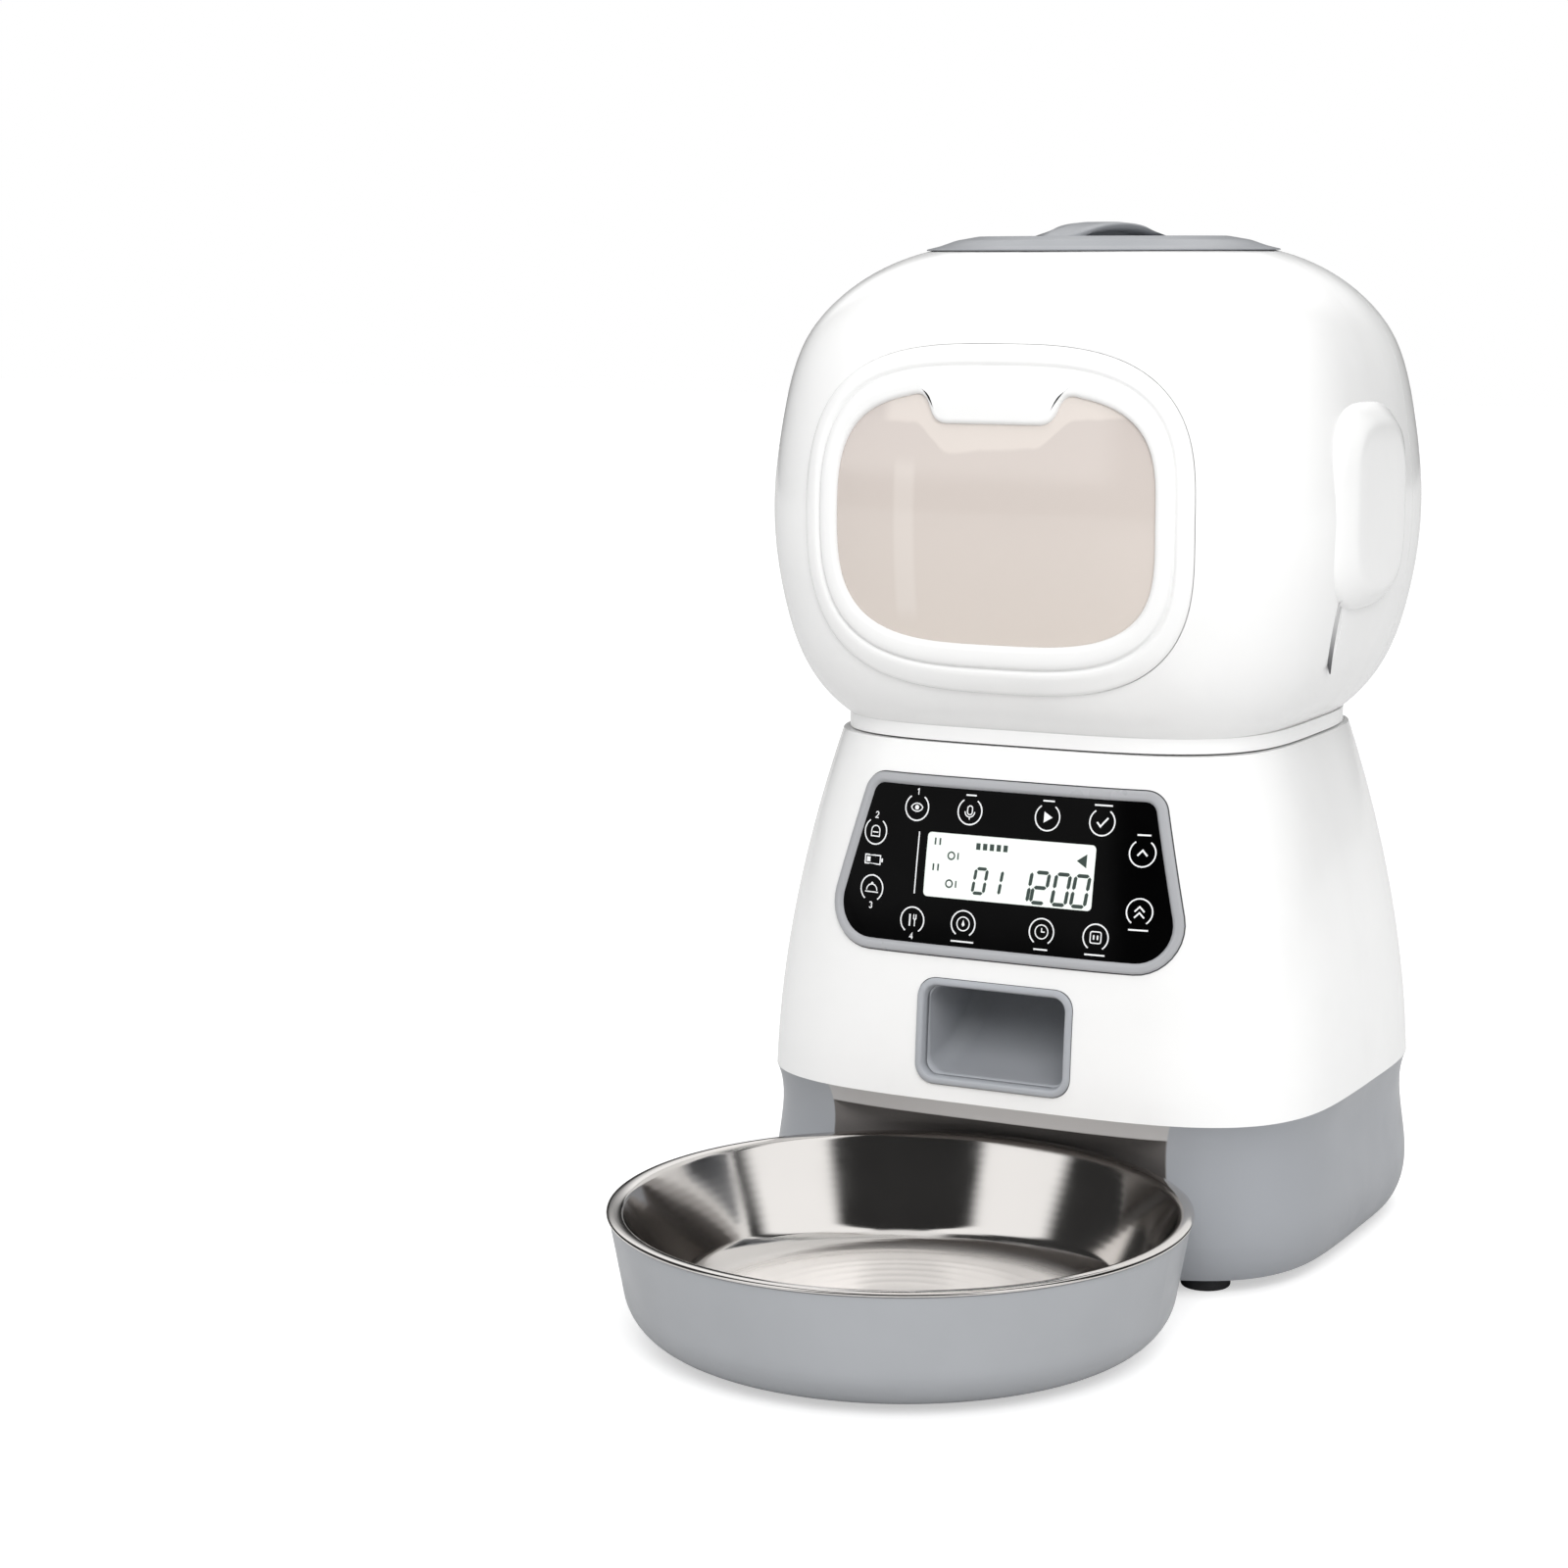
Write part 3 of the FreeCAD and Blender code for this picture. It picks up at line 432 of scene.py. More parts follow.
def make_window():
    """Smoke-tinted clear plastic, darker towards the top, with a painted reflection in a pale band
    below the tab and a painted highlight in a pale column on the left.
    """
    surface = Surface("tinted window", 0.06, coat=0.5)
    axes = surface.axes(surface.place)
    across, height = axes["X"], axes["Z"]
    # height bent along the tab's shoulders, which shapes the painted reflection below the tab
    waver = surface.maths("MULTIPLY", surface.maths("SUBTRACT", surface.noise(28.0), 0.5), 0.008)
    from_middle = surface.maths("ABSOLUTE", surface.maths("ADD", across, -WINDOW_X * MM))
    shoulder = surface.remap(from_middle, 0.014, 0.028, 0.0, -0.010, smooth=True)
    level = surface.maths("ADD", surface.maths("ADD", height, waver), shoulder)

    def band(value, low, high, soft):
        rise = surface.remap(value, (low - soft) * MM, (low + soft) * MM, smooth=True)
        fall = surface.remap(value, (high - soft) * MM, (high + soft) * MM, 1.0, 0.0, True)
        return surface.maths("MULTIPLY", rise, fall)

    body = surface.blend(surface.remap(height, 0.205, 0.285), (0.75, 0.675, 0.615),
                         (0.66, 0.595, 0.56))
    # painted reflection: pale band just below the tab's level edge
    painted_tab_reflection = surface.maths("MULTIPLY", band(level, 266.5, 276.0, 0.8),
                              band(across, -39.0, 46.0, 2.5))
    body = surface.blend(surface.maths("MULTIPLY", painted_tab_reflection, 0.55), body, (0.86, 0.79, 0.73))
    # painted highlight: pale upright column on the left of the glass
    painted_highlight_column = surface.maths("MULTIPLY", band(across, -35.0, -28.0, 1.0),
                           band(height, 214.0, 262.0, 4.0))
    body = surface.blend(surface.maths("MULTIPLY", painted_highlight_column, 0.45), body, (0.83, 0.77, 0.72))
    surface.paint(body)
    surface.roughness(0.05, 0.09, 40.0)
    surface.set("Alpha", 0.86)
    surface.bump(surface.noise(25.0, 1.0), 0.05)
    surface.material.surface_render_method = "BLENDED"
    return surface


def make_display():
    """Reflective liquid crystal: pale green-grey with a faint cell pattern and a faint painted
    glow.
    """
    surface = Surface("display", 0.25, specular=0.3)
    surface.colour((0.80, 0.86, 0.81), (0.86, 0.91, 0.87), 90.0)
    cells = surface.nodes.new("ShaderNodeTexChecker")
    cells.inputs["Scale"].default_value = 1600.0
    surface.links.new(surface.place, cells.inputs["Vector"])
    surface.bump(cells.outputs["Fac"], 0.004, 0.3)
    surface.roughness(0.2, 0.32, 120.0)
    # painted light: the display glows faintly, though nothing lights it from behind
    surface.set("Emission Color", (0.80, 0.87, 0.82, 1))
    surface.set("Emission Strength", 0.12)
    return surface


def metal(name, colour, rough, grain):
    """Plated or drawn metal, with fine lines along Z."""
    surface = Surface(name, rough, metallic=1.0)
    surface.colour(shade(colour, 0.92), shade(colour, 1.08), 120.0)
    surface.roughness(rough * 0.8, rough * 1.25, 300.0)
    surface.bump(surface.noise(grain, 2.0, surface.mapped(scale=(1, 1, 0.08))), 0.01, 0.4)
    return surface


def make_board():
    """Green solder mask with paler copper runs below it."""
    surface = Surface("circuit board", 0.35)
    runs = surface.nodes.new("ShaderNodeTexBrick")
    runs.inputs["Scale"].default_value = 170.0
    runs.inputs["Mortar Size"].default_value = 0.04
    runs.inputs["Color1"].default_value = (0.02, 0.13, 0.05, 1)
    runs.inputs["Color2"].default_value = (0.03, 0.16, 0.07, 1)
    runs.inputs["Mortar"].default_value = (0.06, 0.27, 0.12, 1)
    surface.links.new(surface.mapped(scale=(1, 0, 1)), runs.inputs["Vector"])
    surface.paint(runs.outputs["Color"])
    surface.roughness(0.3, 0.4, 200.0)
    surface.bump(runs.outputs["Fac"], 0.03, 0.6)
    return surface


def make_cell():
    """Printed battery jacket: dark with a copper-coloured band at one end."""
    surface = Surface("cell jacket", 0.3, metallic=0.4)
    start = (BODY_Y + 35.0) * MM
    band = surface.remap(surface.axes(surface.place)["Y"], start, start + 0.0005)
    surface.paint(surface.blend(band, (0.05, 0.055, 0.06), (0.55, 0.30, 0.14)))
    surface.roughness(0.25, 0.38, 90.0)
    surface.bump(surface.noise(700.0), 0.01, 0.5)
    return surface


def grey_plastic(name, colour, rough=0.34):
    return moulded(name, colour, rough, 1700.0, 0.012, coat=0.05)


WHITE = (0.875, 0.875, 0.871)
GREY = (0.318, 0.331, 0.354)
HOLDER_GREY = (0.365, 0.377, 0.396)
SURFACES = {
    "white_abs": moulded("white plastic", WHITE, 0.20, 420.0, 0.010, coat=0.12, spread=0.008),
    "inner_white": moulded("inner white plastic", (0.86, 0.86, 0.85), 0.42, 1500.0, 0.02),
    "grey_abs": grey_plastic("grey plastic", GREY),
    "bowl_grey": grey_plastic("pale grey plastic", HOLDER_GREY, 0.36),
    "silver_trim": moulded("silver trim", (0.385, 0.391, 0.408), 0.30, 2200.0, 0.012, coat=0.2),
    "black_panel": moulded("black panel", (0.0012, 0.0012, 0.0013), 0.10, 300.0, 0.004,
                           spread=0.3, specular=0.06),
    "lcd": make_display(),
    "window": make_window(),
    "steel": make_steel(),
    "zinc": metal("zinc plate", (0.58, 0.59, 0.60), 0.32, 900.0),
    "rubber": moulded("black rubber", (0.022, 0.022, 0.024), 0.75, 1300.0, 0.06, spread=0.15),
    "silicone": moulded("silicone", (0.74, 0.74, 0.73), 0.5, 800.0, 0.02),
    "board": make_board(),
    "contact": metal("gold-plated brass", (0.80, 0.62, 0.30), 0.25, 900.0),
    "pom": moulded("acetal", (0.80, 0.78, 0.72), 0.38, 900.0, 0.02),
    "dark_plastic": moulded("dark plastic", (0.045, 0.046, 0.05), 0.45, 1500.0, 0.03, spread=0.1),
    "cell": make_cell(),
    "sachet": moulded("sachet paper", (0.86, 0.84, 0.79), 0.8, 1100.0, 0.12, spread=0.04),
}
# painted shade and light: lid and outlet are copies of the same grey plastic, darker on the lid and
# lighter at the outlet, standing in for how the light falls on them
LID_GREY_PAINTED_DARKER = grey_plastic("lid plastic painted darker", shade(GREY, 0.8))
OUTLET_GREY_PAINTED_LIGHTER = grey_plastic("outlet plastic painted lighter", shade(GREY, 1.2))
MARK_WHITE = moulded("printed white", (0.86, 0.87, 0.88), 0.4, 900.0, 0.004)
MARK_DARK = moulded("display segments", (0.035, 0.055, 0.048), 0.4, 900.0, 0.004, spread=0.1)

for subpart in frame["record"]["subparts"]:
    node = frame["nodes"][subpart["node"]]
    node.data.materials.clear()
    node.data.materials.append(SURFACES[subpart["material_slot"]].material)
# the skirt's own material paints shade into the recess behind the bowl
frame["nodes"]["base_skirt"].data.materials[0] = make_skirt().material


def add(name, mesh, slot, body, *replaced, surface=None):
    """A visible piece that rides on a body, in place of the CAD nodes that it replaces."""
    piece = bpy.data.objects.new(name, mesh)
    bpy.context.scene.collection.objects.link(piece)
    mesh.materials.append((surface or SURFACES[slot]).material)
    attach(piece, body)
    if replaced:
        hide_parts(*replaced)
    return piece


# ---- window ----
OPENING_HALF, OPENING_Z, OPENING_POWER = (55.0, 40.0), 245.0, 3.4
GROOVE_HALF, GROOVE_Z, GROOVE_POWER = (61.1, 47.75), 245.4, 3.2
SURROUND_HALF, SURROUND_POWER = (67.2, 55.5), 3.0
# the tab that hangs into the opening: its level edge, and its shoulder as (x, z) points
# between two directions from the opening's middle, in degrees
TAB_Z = 275.0
SHOULDER = Outline([(29.9, 283.4), (27.4, 284.0), (25.2, 283.9), (23.3, 282.5), (22.0, 280.0),
                    (20.6, 277.3), (18.6, 275.6), (16.4, 275.05), (14.0, 275.0)])
SHOULDER_FROM, SHOULDER_TO = 52.0, 65.0


def window_angles():
    """Angles about the window's middle, closer together along the tab's shoulders."""
    angles = set(np.round(np.arange(0, 360, 1.25), 3))
    for side in np.arange(SHOULDER_FROM, SHOULDER_TO + 0.1, 0.25):
        angles.update((round(side, 3), round(180 - side, 3)))
    return np.radians(sorted(angles))


ANGLES = window_angles()


def oval(half, middle_z, power, grow=0.0):
    """Rounded-square outline as (x, z) points."""
    radius = rounded_square(ANGLES, half[0] + grow, half[1] + grow, power)
    return np.c_[WINDOW_X + radius * np.cos(ANGLES), middle_z + radius * np.sin(ANGLES)]


def opening_outline(grow=0.0):
    """Edge of the window's opening, with the tab that hangs into it."""
    outline = oval(OPENING_HALF, OPENING_Z, OPENING_POWER)
    for i, angle in enumerate(np.degrees(ANGLES)):
        side = 1 if angle <= 90 else -1
        from_side = angle if angle <= 90 else 180 - angle
        if from_side > SHOULDER_TO:
            x = (TAB_Z - OPENING_Z) / math.tan(math.radians(from_side))
            outline[i] = WINDOW_X + side * x, TAB_Z
        elif from_side >= SHOULDER_FROM:
            x, z = SHOULDER((from_side - SHOULDER_FROM) / (SHOULDER_TO - SHOULDER_FROM))
            outline[i] = WINDOW_X + side * x, z
    if not grow:
        return outline
    along = np.roll(outline, -1, 0) - np.roll(outline, 1, 0)
    along /= np.linalg.norm(along, axis=1)[:, None]
    return outline + np.c_[along[:, 1], -along[:, 0]] * grow


def on_form(form, outline, lift):
    """(x, z) outline laid on a body's front and lifted off it."""
    return [tuple(form.relief(x, z, lift)) for x, z in outline]


def add_window():
    def outer(grow):
        return oval(SURROUND_HALF, WINDOW_Z, SURROUND_POWER, grow)

    def groove(grow):
        return oval(GROOVE_HALF, GROOVE_Z, GROOVE_POWER, grow)

    # the moulding's section, as outlines with their lift off the head
    steps = [(outer(-0.15), -WALL), (outer(-0.15), 0.0), (outer(-0.3), 0.55), (outer(-0.8), 0.95),
             (outer(-1.7), 1.2), (groove(2.4), 1.35), (groove(1.2), 1.3), (groove(0.6), 1.05),
             (groove(0.25), 0.35), (groove(-0.25), 0.35), (groove(-0.6), 1.05), (groove(-1.2), 1.3),
             (groove(-2.6), 1.3), (opening_outline(1.6), 1.15), (opening_outline(0.8), 0.8),
             (opening_outline(0.25), 0.2), (opening_outline(0.0), -0.6),
             (opening_outline(0.0), -WALL)]
    rows = [on_form(HEAD, outline, lift) for outline, lift in steps]
    add("window_surround", loft("window_surround", rows, ring=True), "white_abs", "tank",
        "window_frame")

    # the glass runs on behind the tab
    edge = oval(OPENING_HALF, OPENING_Z, OPENING_POWER, 0.3)
    middle = np.array((WINDOW_X, OPENING_Z))
    rows = [on_form(HEAD, middle + (edge - middle) * scale, -0.75)
            for scale in (1.0, 0.985, 0.95, 0.9, 0.82, 0.72, 0.6, 0.47, 0.34, 0.22, 0.1, 0.03)]
    glass = add("window_glass", loft("window_glass", rows, cap_last=True), "window", "tank",
                "window_pane")
    thicken(glass, 2.0)


add_window()


# ---- ear covers ----
EAR_Z, EAR_POWER = 247.7, 3.2
SLIT_LOW, SLIT_HIGH = Vector((90.9, -27.0, 194.0)), Vector((97.6, -34.0, 221.5))
SLIT_R = 3.4


def add_ear(side, name, node):
    """Pad on the side of the head: a wide soft bevel round a nearly flat face. The profile
    holds (x, half width, half height, y of the middle)."""
    profile = [(92.6, 32.4, 33.2, -11.6), (94.6, 32.3, 33.1, -11.6), (96.3, 31.8, 32.7, -11.5),
               (97.6, 30.7, 31.8, -11.2), (99.0, 28.4, 29.9, -10.5), (100.2, 26.2, 28.2, -9.8),
               (100.8, 25.0, 27.2, -9.3), (101.1, 23.6, 26.0, -9.1), (101.2, 21.5, 24.0, -9.0),
               (101.2, 15.0, 17.5, -9.0), (101.2, 8.0, 9.5, -9.0), (101.2, 2.0, 2.5, -9.0)]
    rows = []
    angles = np.arange(96) * 2 * math.pi / 96
    for x, half_y, half_z, y in profile:
        radius = rounded_square(angles, half_y, half_z, EAR_POWER)
        rows.append([(side * x, y + r * math.cos(a), EAR_Z + r * math.sin(a))
                     for r, a in zip(radius, angles)])
    pad = add(name, loft(name, rows, cap_last=True), "white_abs", "tank", node)
    thicken(pad, 1.2)


def add_slit_shade_sheets():
    """Painted shade: a thin sheet in each slim recess below an ear cover, darker towards its lower
    end, standing in for the shade in the recess.
    """
    half = (SLIT_HIGH - SLIT_LOW).length / 2
    bow = (half ** 2 + SLIT_R ** 2) / (2 * SLIT_R)
    along = (SLIT_HIGH - SLIT_LOW).normalized()
    inward = (Vector((-1, 0, 0)) + along * along.x).normalized()
    across = along.cross(inward)
    surface = Surface("recess shade", 0.45, specular=0.3)
    # painted shade: near black at the lower end, pale grey higher up
    level = surface.remap(surface.axes(surface.place)["Z"], 0.196, 0.214, smooth=True)
    surface.paint(surface.blend(level, (0.10, 0.10, 0.105), (0.62, 0.62, 0.62)))
    surface.roughness(0.4, 0.5, 90.0)
    surface.bump(surface.noise(900.0), 0.006)
    for side, name in ((1, "slit_shade_right"), (-1, "slit_shade_left")):
        rows = []
        for step in range(1, 32):
            reach = (step / 16 - 1) * half
            radius = math.sqrt(bow ** 2 - reach ** 2) - (bow - SLIT_R) - 0.06
            middle = (SLIT_LOW + SLIT_HIGH) / 2 + along * reach
            row = []
            for angle in np.radians(np.linspace(-66, 66, 15)):
                spot = middle + (inward * math.cos(angle) + across * math.sin(angle)) * radius
                row.append((side * spot.x, spot.y, spot.z))
            rows.append(row)
        shade_sheet = loft(name, rows, closed=False)
        thicken(add(name, shade_sheet, "white_abs", "tank", surface=surface), 0.05)


add_ear(1, "ear_pad_right", "ear_cover_right")
add_ear(-1, "ear_pad_left", "ear_cover_left")
add_slit_shade_sheets()


# ---- turned pieces ----
def softened(points, radius, steps=5):
    """(r, z) profile with its corners rounded."""
    rounded = [points[0]]
    for before, here, after in zip(points, points[1:], points[2:]):
        before, here, after = Vector(before), Vector(here), Vector(after)
        inward, outward = here - before, after - here
        reach = min(radius, inward.length * 0.45, outward.length * 0.45)
        start, end = here - inward.normalized() * reach, here + outward.normalized() * reach
        for i in range(steps + 1):
            t = i / steps
            rounded.append(tuple(start * (1 - t) ** 2 + here * 2 * t * (1 - t) + end * t * t))
    return rounded + [points[-1]]


def turned(name, profile, places=((0.0, 0.0),), count=160):
    """Closed solid of revolution from an (r, z) profile that starts and ends at the axis."""
    maker = bmesh.new()
    angles = np.arange(count) * 2 * math.pi / count
    for x, y in places:
        rows = [[(x + radius * math.cos(a), y + radius * math.sin(a), z) for a in angles]
                for radius, z in profile]
        skin(maker, rows, cap_first=True, cap_last=True)
    mesh = made(maker, name)
    mesh.shade_smooth()
    return mesh


# the handle's half length, and the height at which its ends meet the lid
HANDLE_REACH, HANDLE_FOOT = 40.0, 332.95
BOWL_WALL = 0.8


def add_lid_cap():
    """Disc with a hollow under the handle and a collar that plugs into the tank's mouth."""
    profile = [(0.3, 327.0), (23.5, 327.0), (30.0, 328.8), (35.3, 333.2), (41.0, 333.3),
               (48.5, 332.0), (54.0, DOME_Z + 1.1), (58.3, DOME_Z + 0.05), (58.5, DOME_Z - 0.4),
               (55.0, DOME_Z + 0.3), (49.2, DOME_Z + 0.3),
               (49.2, 324.4), (48.2, 324.4), (48.2, 321.6), (49.2, 321.6), (49.2, 318.0),
               (46.2, 318.0), (46.2, 327.5), (41.5, 330.4), (37.0, 330.6), (31.5, 326.4),
               (26.0, 324.6), (0.3, 324.6)]
    cap = turned("lid_cap", softened(profile, 0.9))
    flatten_shading(add("lid_cap", cap, "grey_abs", "lid", "lid", surface=LID_GREY_PAINTED_DARKER))


def add_lid_strap():
    """The handle: a strap that arches over the hollow and runs out flat at both ends."""
    rows = []
    angles = np.arange(40) * 2 * math.pi / 40
    for i in range(49):
        along = -1 + 2 * i / 48
        y = HANDLE_REACH * along
        high = HANDLE_FOOT + (HANDLE_TOP - HANDLE_FOOT) * (1 - along ** 2)
        low = 332.6 + 2.4 * max(0.0, 1 - (y / 36.5) ** 2)
        half = 8.0 + 1.2 * along ** 4
        middle, tall = (high + low) / 2, max(0.12, (high - low) / 2)
        rows.append([(r * math.cos(a), y, middle + r * math.sin(a))
                     for r, a in zip(rounded_square(angles, half, tall, 4.5), angles)])
    strap = loft("lid_strap", rows, cap_first=True, cap_last=True)
    add("lid_strap", strap, "grey_abs", "lid", "lid_handle", surface=LID_GREY_PAINTED_DARKER)


def add_lid_rib():
    """Rib along the handle's middle, down to the lid's hollow."""
    rows = []
    for y in np.linspace(-36.0, 36.0, 37):
        foot = np.interp(abs(y), (0.0, 23.5, 30.0, 35.3, 40.0),
                         (326.9, 326.9, 328.7, 332.6, 332.7))
        head = 333.2 + (HANDLE_TOP - 0.9 - 333.2) * (1 - (y / HANDLE_REACH) ** 2)
        rows.append([(1.4, y, foot), (1.0, y, foot + 0.4), (1.0, y, head), (-1.0, y, head),
                     (-1.0, y, foot + 0.4), (-1.4, y, foot)])
    rib = loft("lid_rib", rows, cap_first=True, cap_last=True)
    rib = add("lid_rib", rib, "grey_abs", "lid", surface=LID_GREY_PAINTED_DARKER)
    round_edges(rib, 0.2)
    flatten_shading(rib)


add_lid_cap()
add_lid_strap()
add_lid_rib()


def add_bowl():
    """Spun steel bowl with raised rings in its floor and a rolled rim."""
    def floor(radius):
        return 7.4 + 0.18 * sum(math.exp(-((radius - bead) / 1.5) ** 2)
                                for bead in (12, 20, 28, 34, 40, 46, 51))

    def bend(start, radius, low, high, steps=10):
        """Arc that steepens from one slope to another, in degrees."""
        low, high = math.radians(low), math.radians(high)
        slopes = [low + (high - low) * i / steps for i in range(1, steps + 1)]
        return [(start[0] + radius * (math.sin(slope) - math.sin(low)),
                 start[1] + radius * (math.cos(low) - math.cos(slope))) for slope in slopes]

    profile = [(r, floor(r)) for r in [0.4] + list(np.arange(2.0, 60.9, 0.8))]
    for radius, low, high in ((10.0, 0.0, 20.0), (20.0, 20.0, 43.0), (7.0, 43.0, 66.0)):
        profile += bend(profile[-1], radius, low, high)
    foot = np.array(profile[-1])
    profile += [tuple(foot + ((84.4, 39.2) - foot) * part) for part in (0.25, 0.5, 0.75, 1.0)]
    inside = profile[1:]
    profile += [(84.75, 39.9), (85.3, 40.35), (86.1, 40.6), (87.2, RIM_TOP), (88.4, RIM_TOP),
                (89.2, 40.55), (89.6, 40.25), (RIM_R, 39.95), (89.6, 39.65), (89.25, 39.45),
                (88.8, 39.4), (86.0, 39.4), (85.3, 38.9)]
    # the underside follows every third point of the inside
    for before, here, after in list(zip(inside, inside[1:], inside[2:]))[::-3]:
        run, rise = after[0] - before[0], after[1] - before[1]
        away = BOWL_WALL / math.hypot(run, rise)
        if here[1] < 38.0:
            profile.append((here[0] + rise * away, here[1] - run * away))
    profile.append((0.4, 6.6))
    dish = turned("steel_dish", profile, ((0.0, BOWL_Y),), 224)
    add("steel_dish", dish, "steel", "bowl", "steel_bowl")


add_bowl()


def add_feet():
    """Ring-faced rubber pads under the base and under the bowl holder."""
    pad = softened([(0.3, 0.5), (5.0, 0.5), (5.6, 0.0), (7.6, 0.0), (8.0, 0.6), (8.0, 5.3),
                    (0.3, 5.3)], 0.4)
    places = [(x, y) for x in (-66.0, 66.0) for y in (-64.0, 64.0)]
    add("foot_pads", turned("foot_pads", pad, places, 64), "rubber", "base", "rubber_feet")
    low = softened([(0.3, 0.3), (3.8, 0.3), (4.3, 0.0), (5.7, 0.0), (6.0, 0.4), (6.0, 2.0),
                    (0.3, 2.0)], 0.25)
    reach = 52.0 / math.sqrt(2)
    places = [(x, BOWL_Y + y) for x in (-reach, reach) for y in (-reach, reach)]
    add("holder_pads", turned("holder_pads", low, places, 48), "rubber", "bowl_holder",
        "holder_feet")


add_feet()


# ---- panel and outlet ----
def bezel_outline(inset):
    low, high, half_low, half_high = 103.0, 160.0, 65.5, 51.5
    slope = (half_low - half_high) / (high - low)
    side = inset * math.hypot(1, slope)
    half_low -= side + slope * inset
    half_high -= side - slope * inset
    return rounded_polygon([(-half_low, low + inset, 15.0 - inset),
                            (half_low, low + inset, 15.0 - inset),
                            (half_high, high - inset, 7.5 - inset),
                            (-half_high, high - inset, 7.5 - inset)])


def outlet_outline(inset):
    half, low, high = 27.2 - inset, 61.4 + inset, 96.0 - inset
    radius = 6.5 - inset * 0.8
    return rounded_polygon([(-half, low, radius), (half, low, radius),
                            (half, high, radius), (-half, high, radius)])


def add_trim(name, outline, steps, slot, node, surface=None):
    """Moulded trim with a thin band of dark plastic painted where it meets the housing, standing in
    for the shadow in the gap. Its section runs through steps, which are (inset, lift off the
    housing)."""
    rows = [on_form(HOUSING, outline(inset), lift) for inset, lift in steps]
    trim = add(name, loft(name, rows, ring=True), slot, "base", node, surface=surface)
    # painted shadow: the first band of faces, just outside the housing's cut, gets dark plastic
    trim.data.materials.append(SURFACES["dark_plastic"].material)
    for face in trim.data.polygons[:2 * len(rows[0])]:
        face.material_index = 1


add_trim("panel_rim", bezel_outline,
         [(-0.28, -WALL), (-0.28, 0.06), (0.12, 0.1), (0.2, 0.8), (0.55, 1.2), (1.0, 1.35),
          (2.4, 1.35), (2.8, 1.2), (3.3, 0.45), (3.5, 0.25), (3.5, -WALL)],
         "silver_trim", "panel_bezel")
add_trim("outlet_lip", outlet_outline,
         [(-0.1, -WALL), (-0.1, 0.05), (0.1, 0.1), (0.2, 0.8), (0.5, 1.15), (1.9, 1.2),
          (2.2, 1.0), (2.5, 0.2), (2.7, -1.0), (2.8, -WALL)],
         "grey_abs", "chute_frame", OUTLET_GREY_PAINTED_LIGHTER)


def add_chute():
    """Smooth duct that curves down from the slot under the rotor to the outlet."""
    path = Outline([(-82.0, 78.7), (-73.0, 79.4), (-61.0, 85.4), (-50.0, 98.0), (-43.5, 114.0),
                    (-41.0, 130.0), (-41.0, 145.9)])

    def section(share, grow):
        y, z = path(share)
        ahead, behind = path(min(1.0, share + 0.01)), path(max(0.0, share - 0.01))
        run, rise = (ahead - behind) / np.hypot(*(ahead - behind))
        wide, tall, radius = 24.7 - 2.4 * share + grow, 14.7 - 2.6 * share + grow, 6.0 + grow
        outline = rounded_polygon([(-wide, -tall, radius), (wide, -tall, radius),
                                   (wide, tall, radius), (-wide, tall, radius)], 8, 5)
        return [(x, y - rise * up, z + run * up) for x, up in outline]

    shares = np.linspace(0, 1, 33)
    rows = [section(share, 0.0) for share in shares]
    rows += [section(share, 1.6) for share in shares[::-1]]
    chute = loft("food_chute", rows, ring=True)
    add("food_chute", chute, "grey_abs", "base", "chute", surface=OUTLET_GREY_PAINTED_LIGHTER)


add_chute()


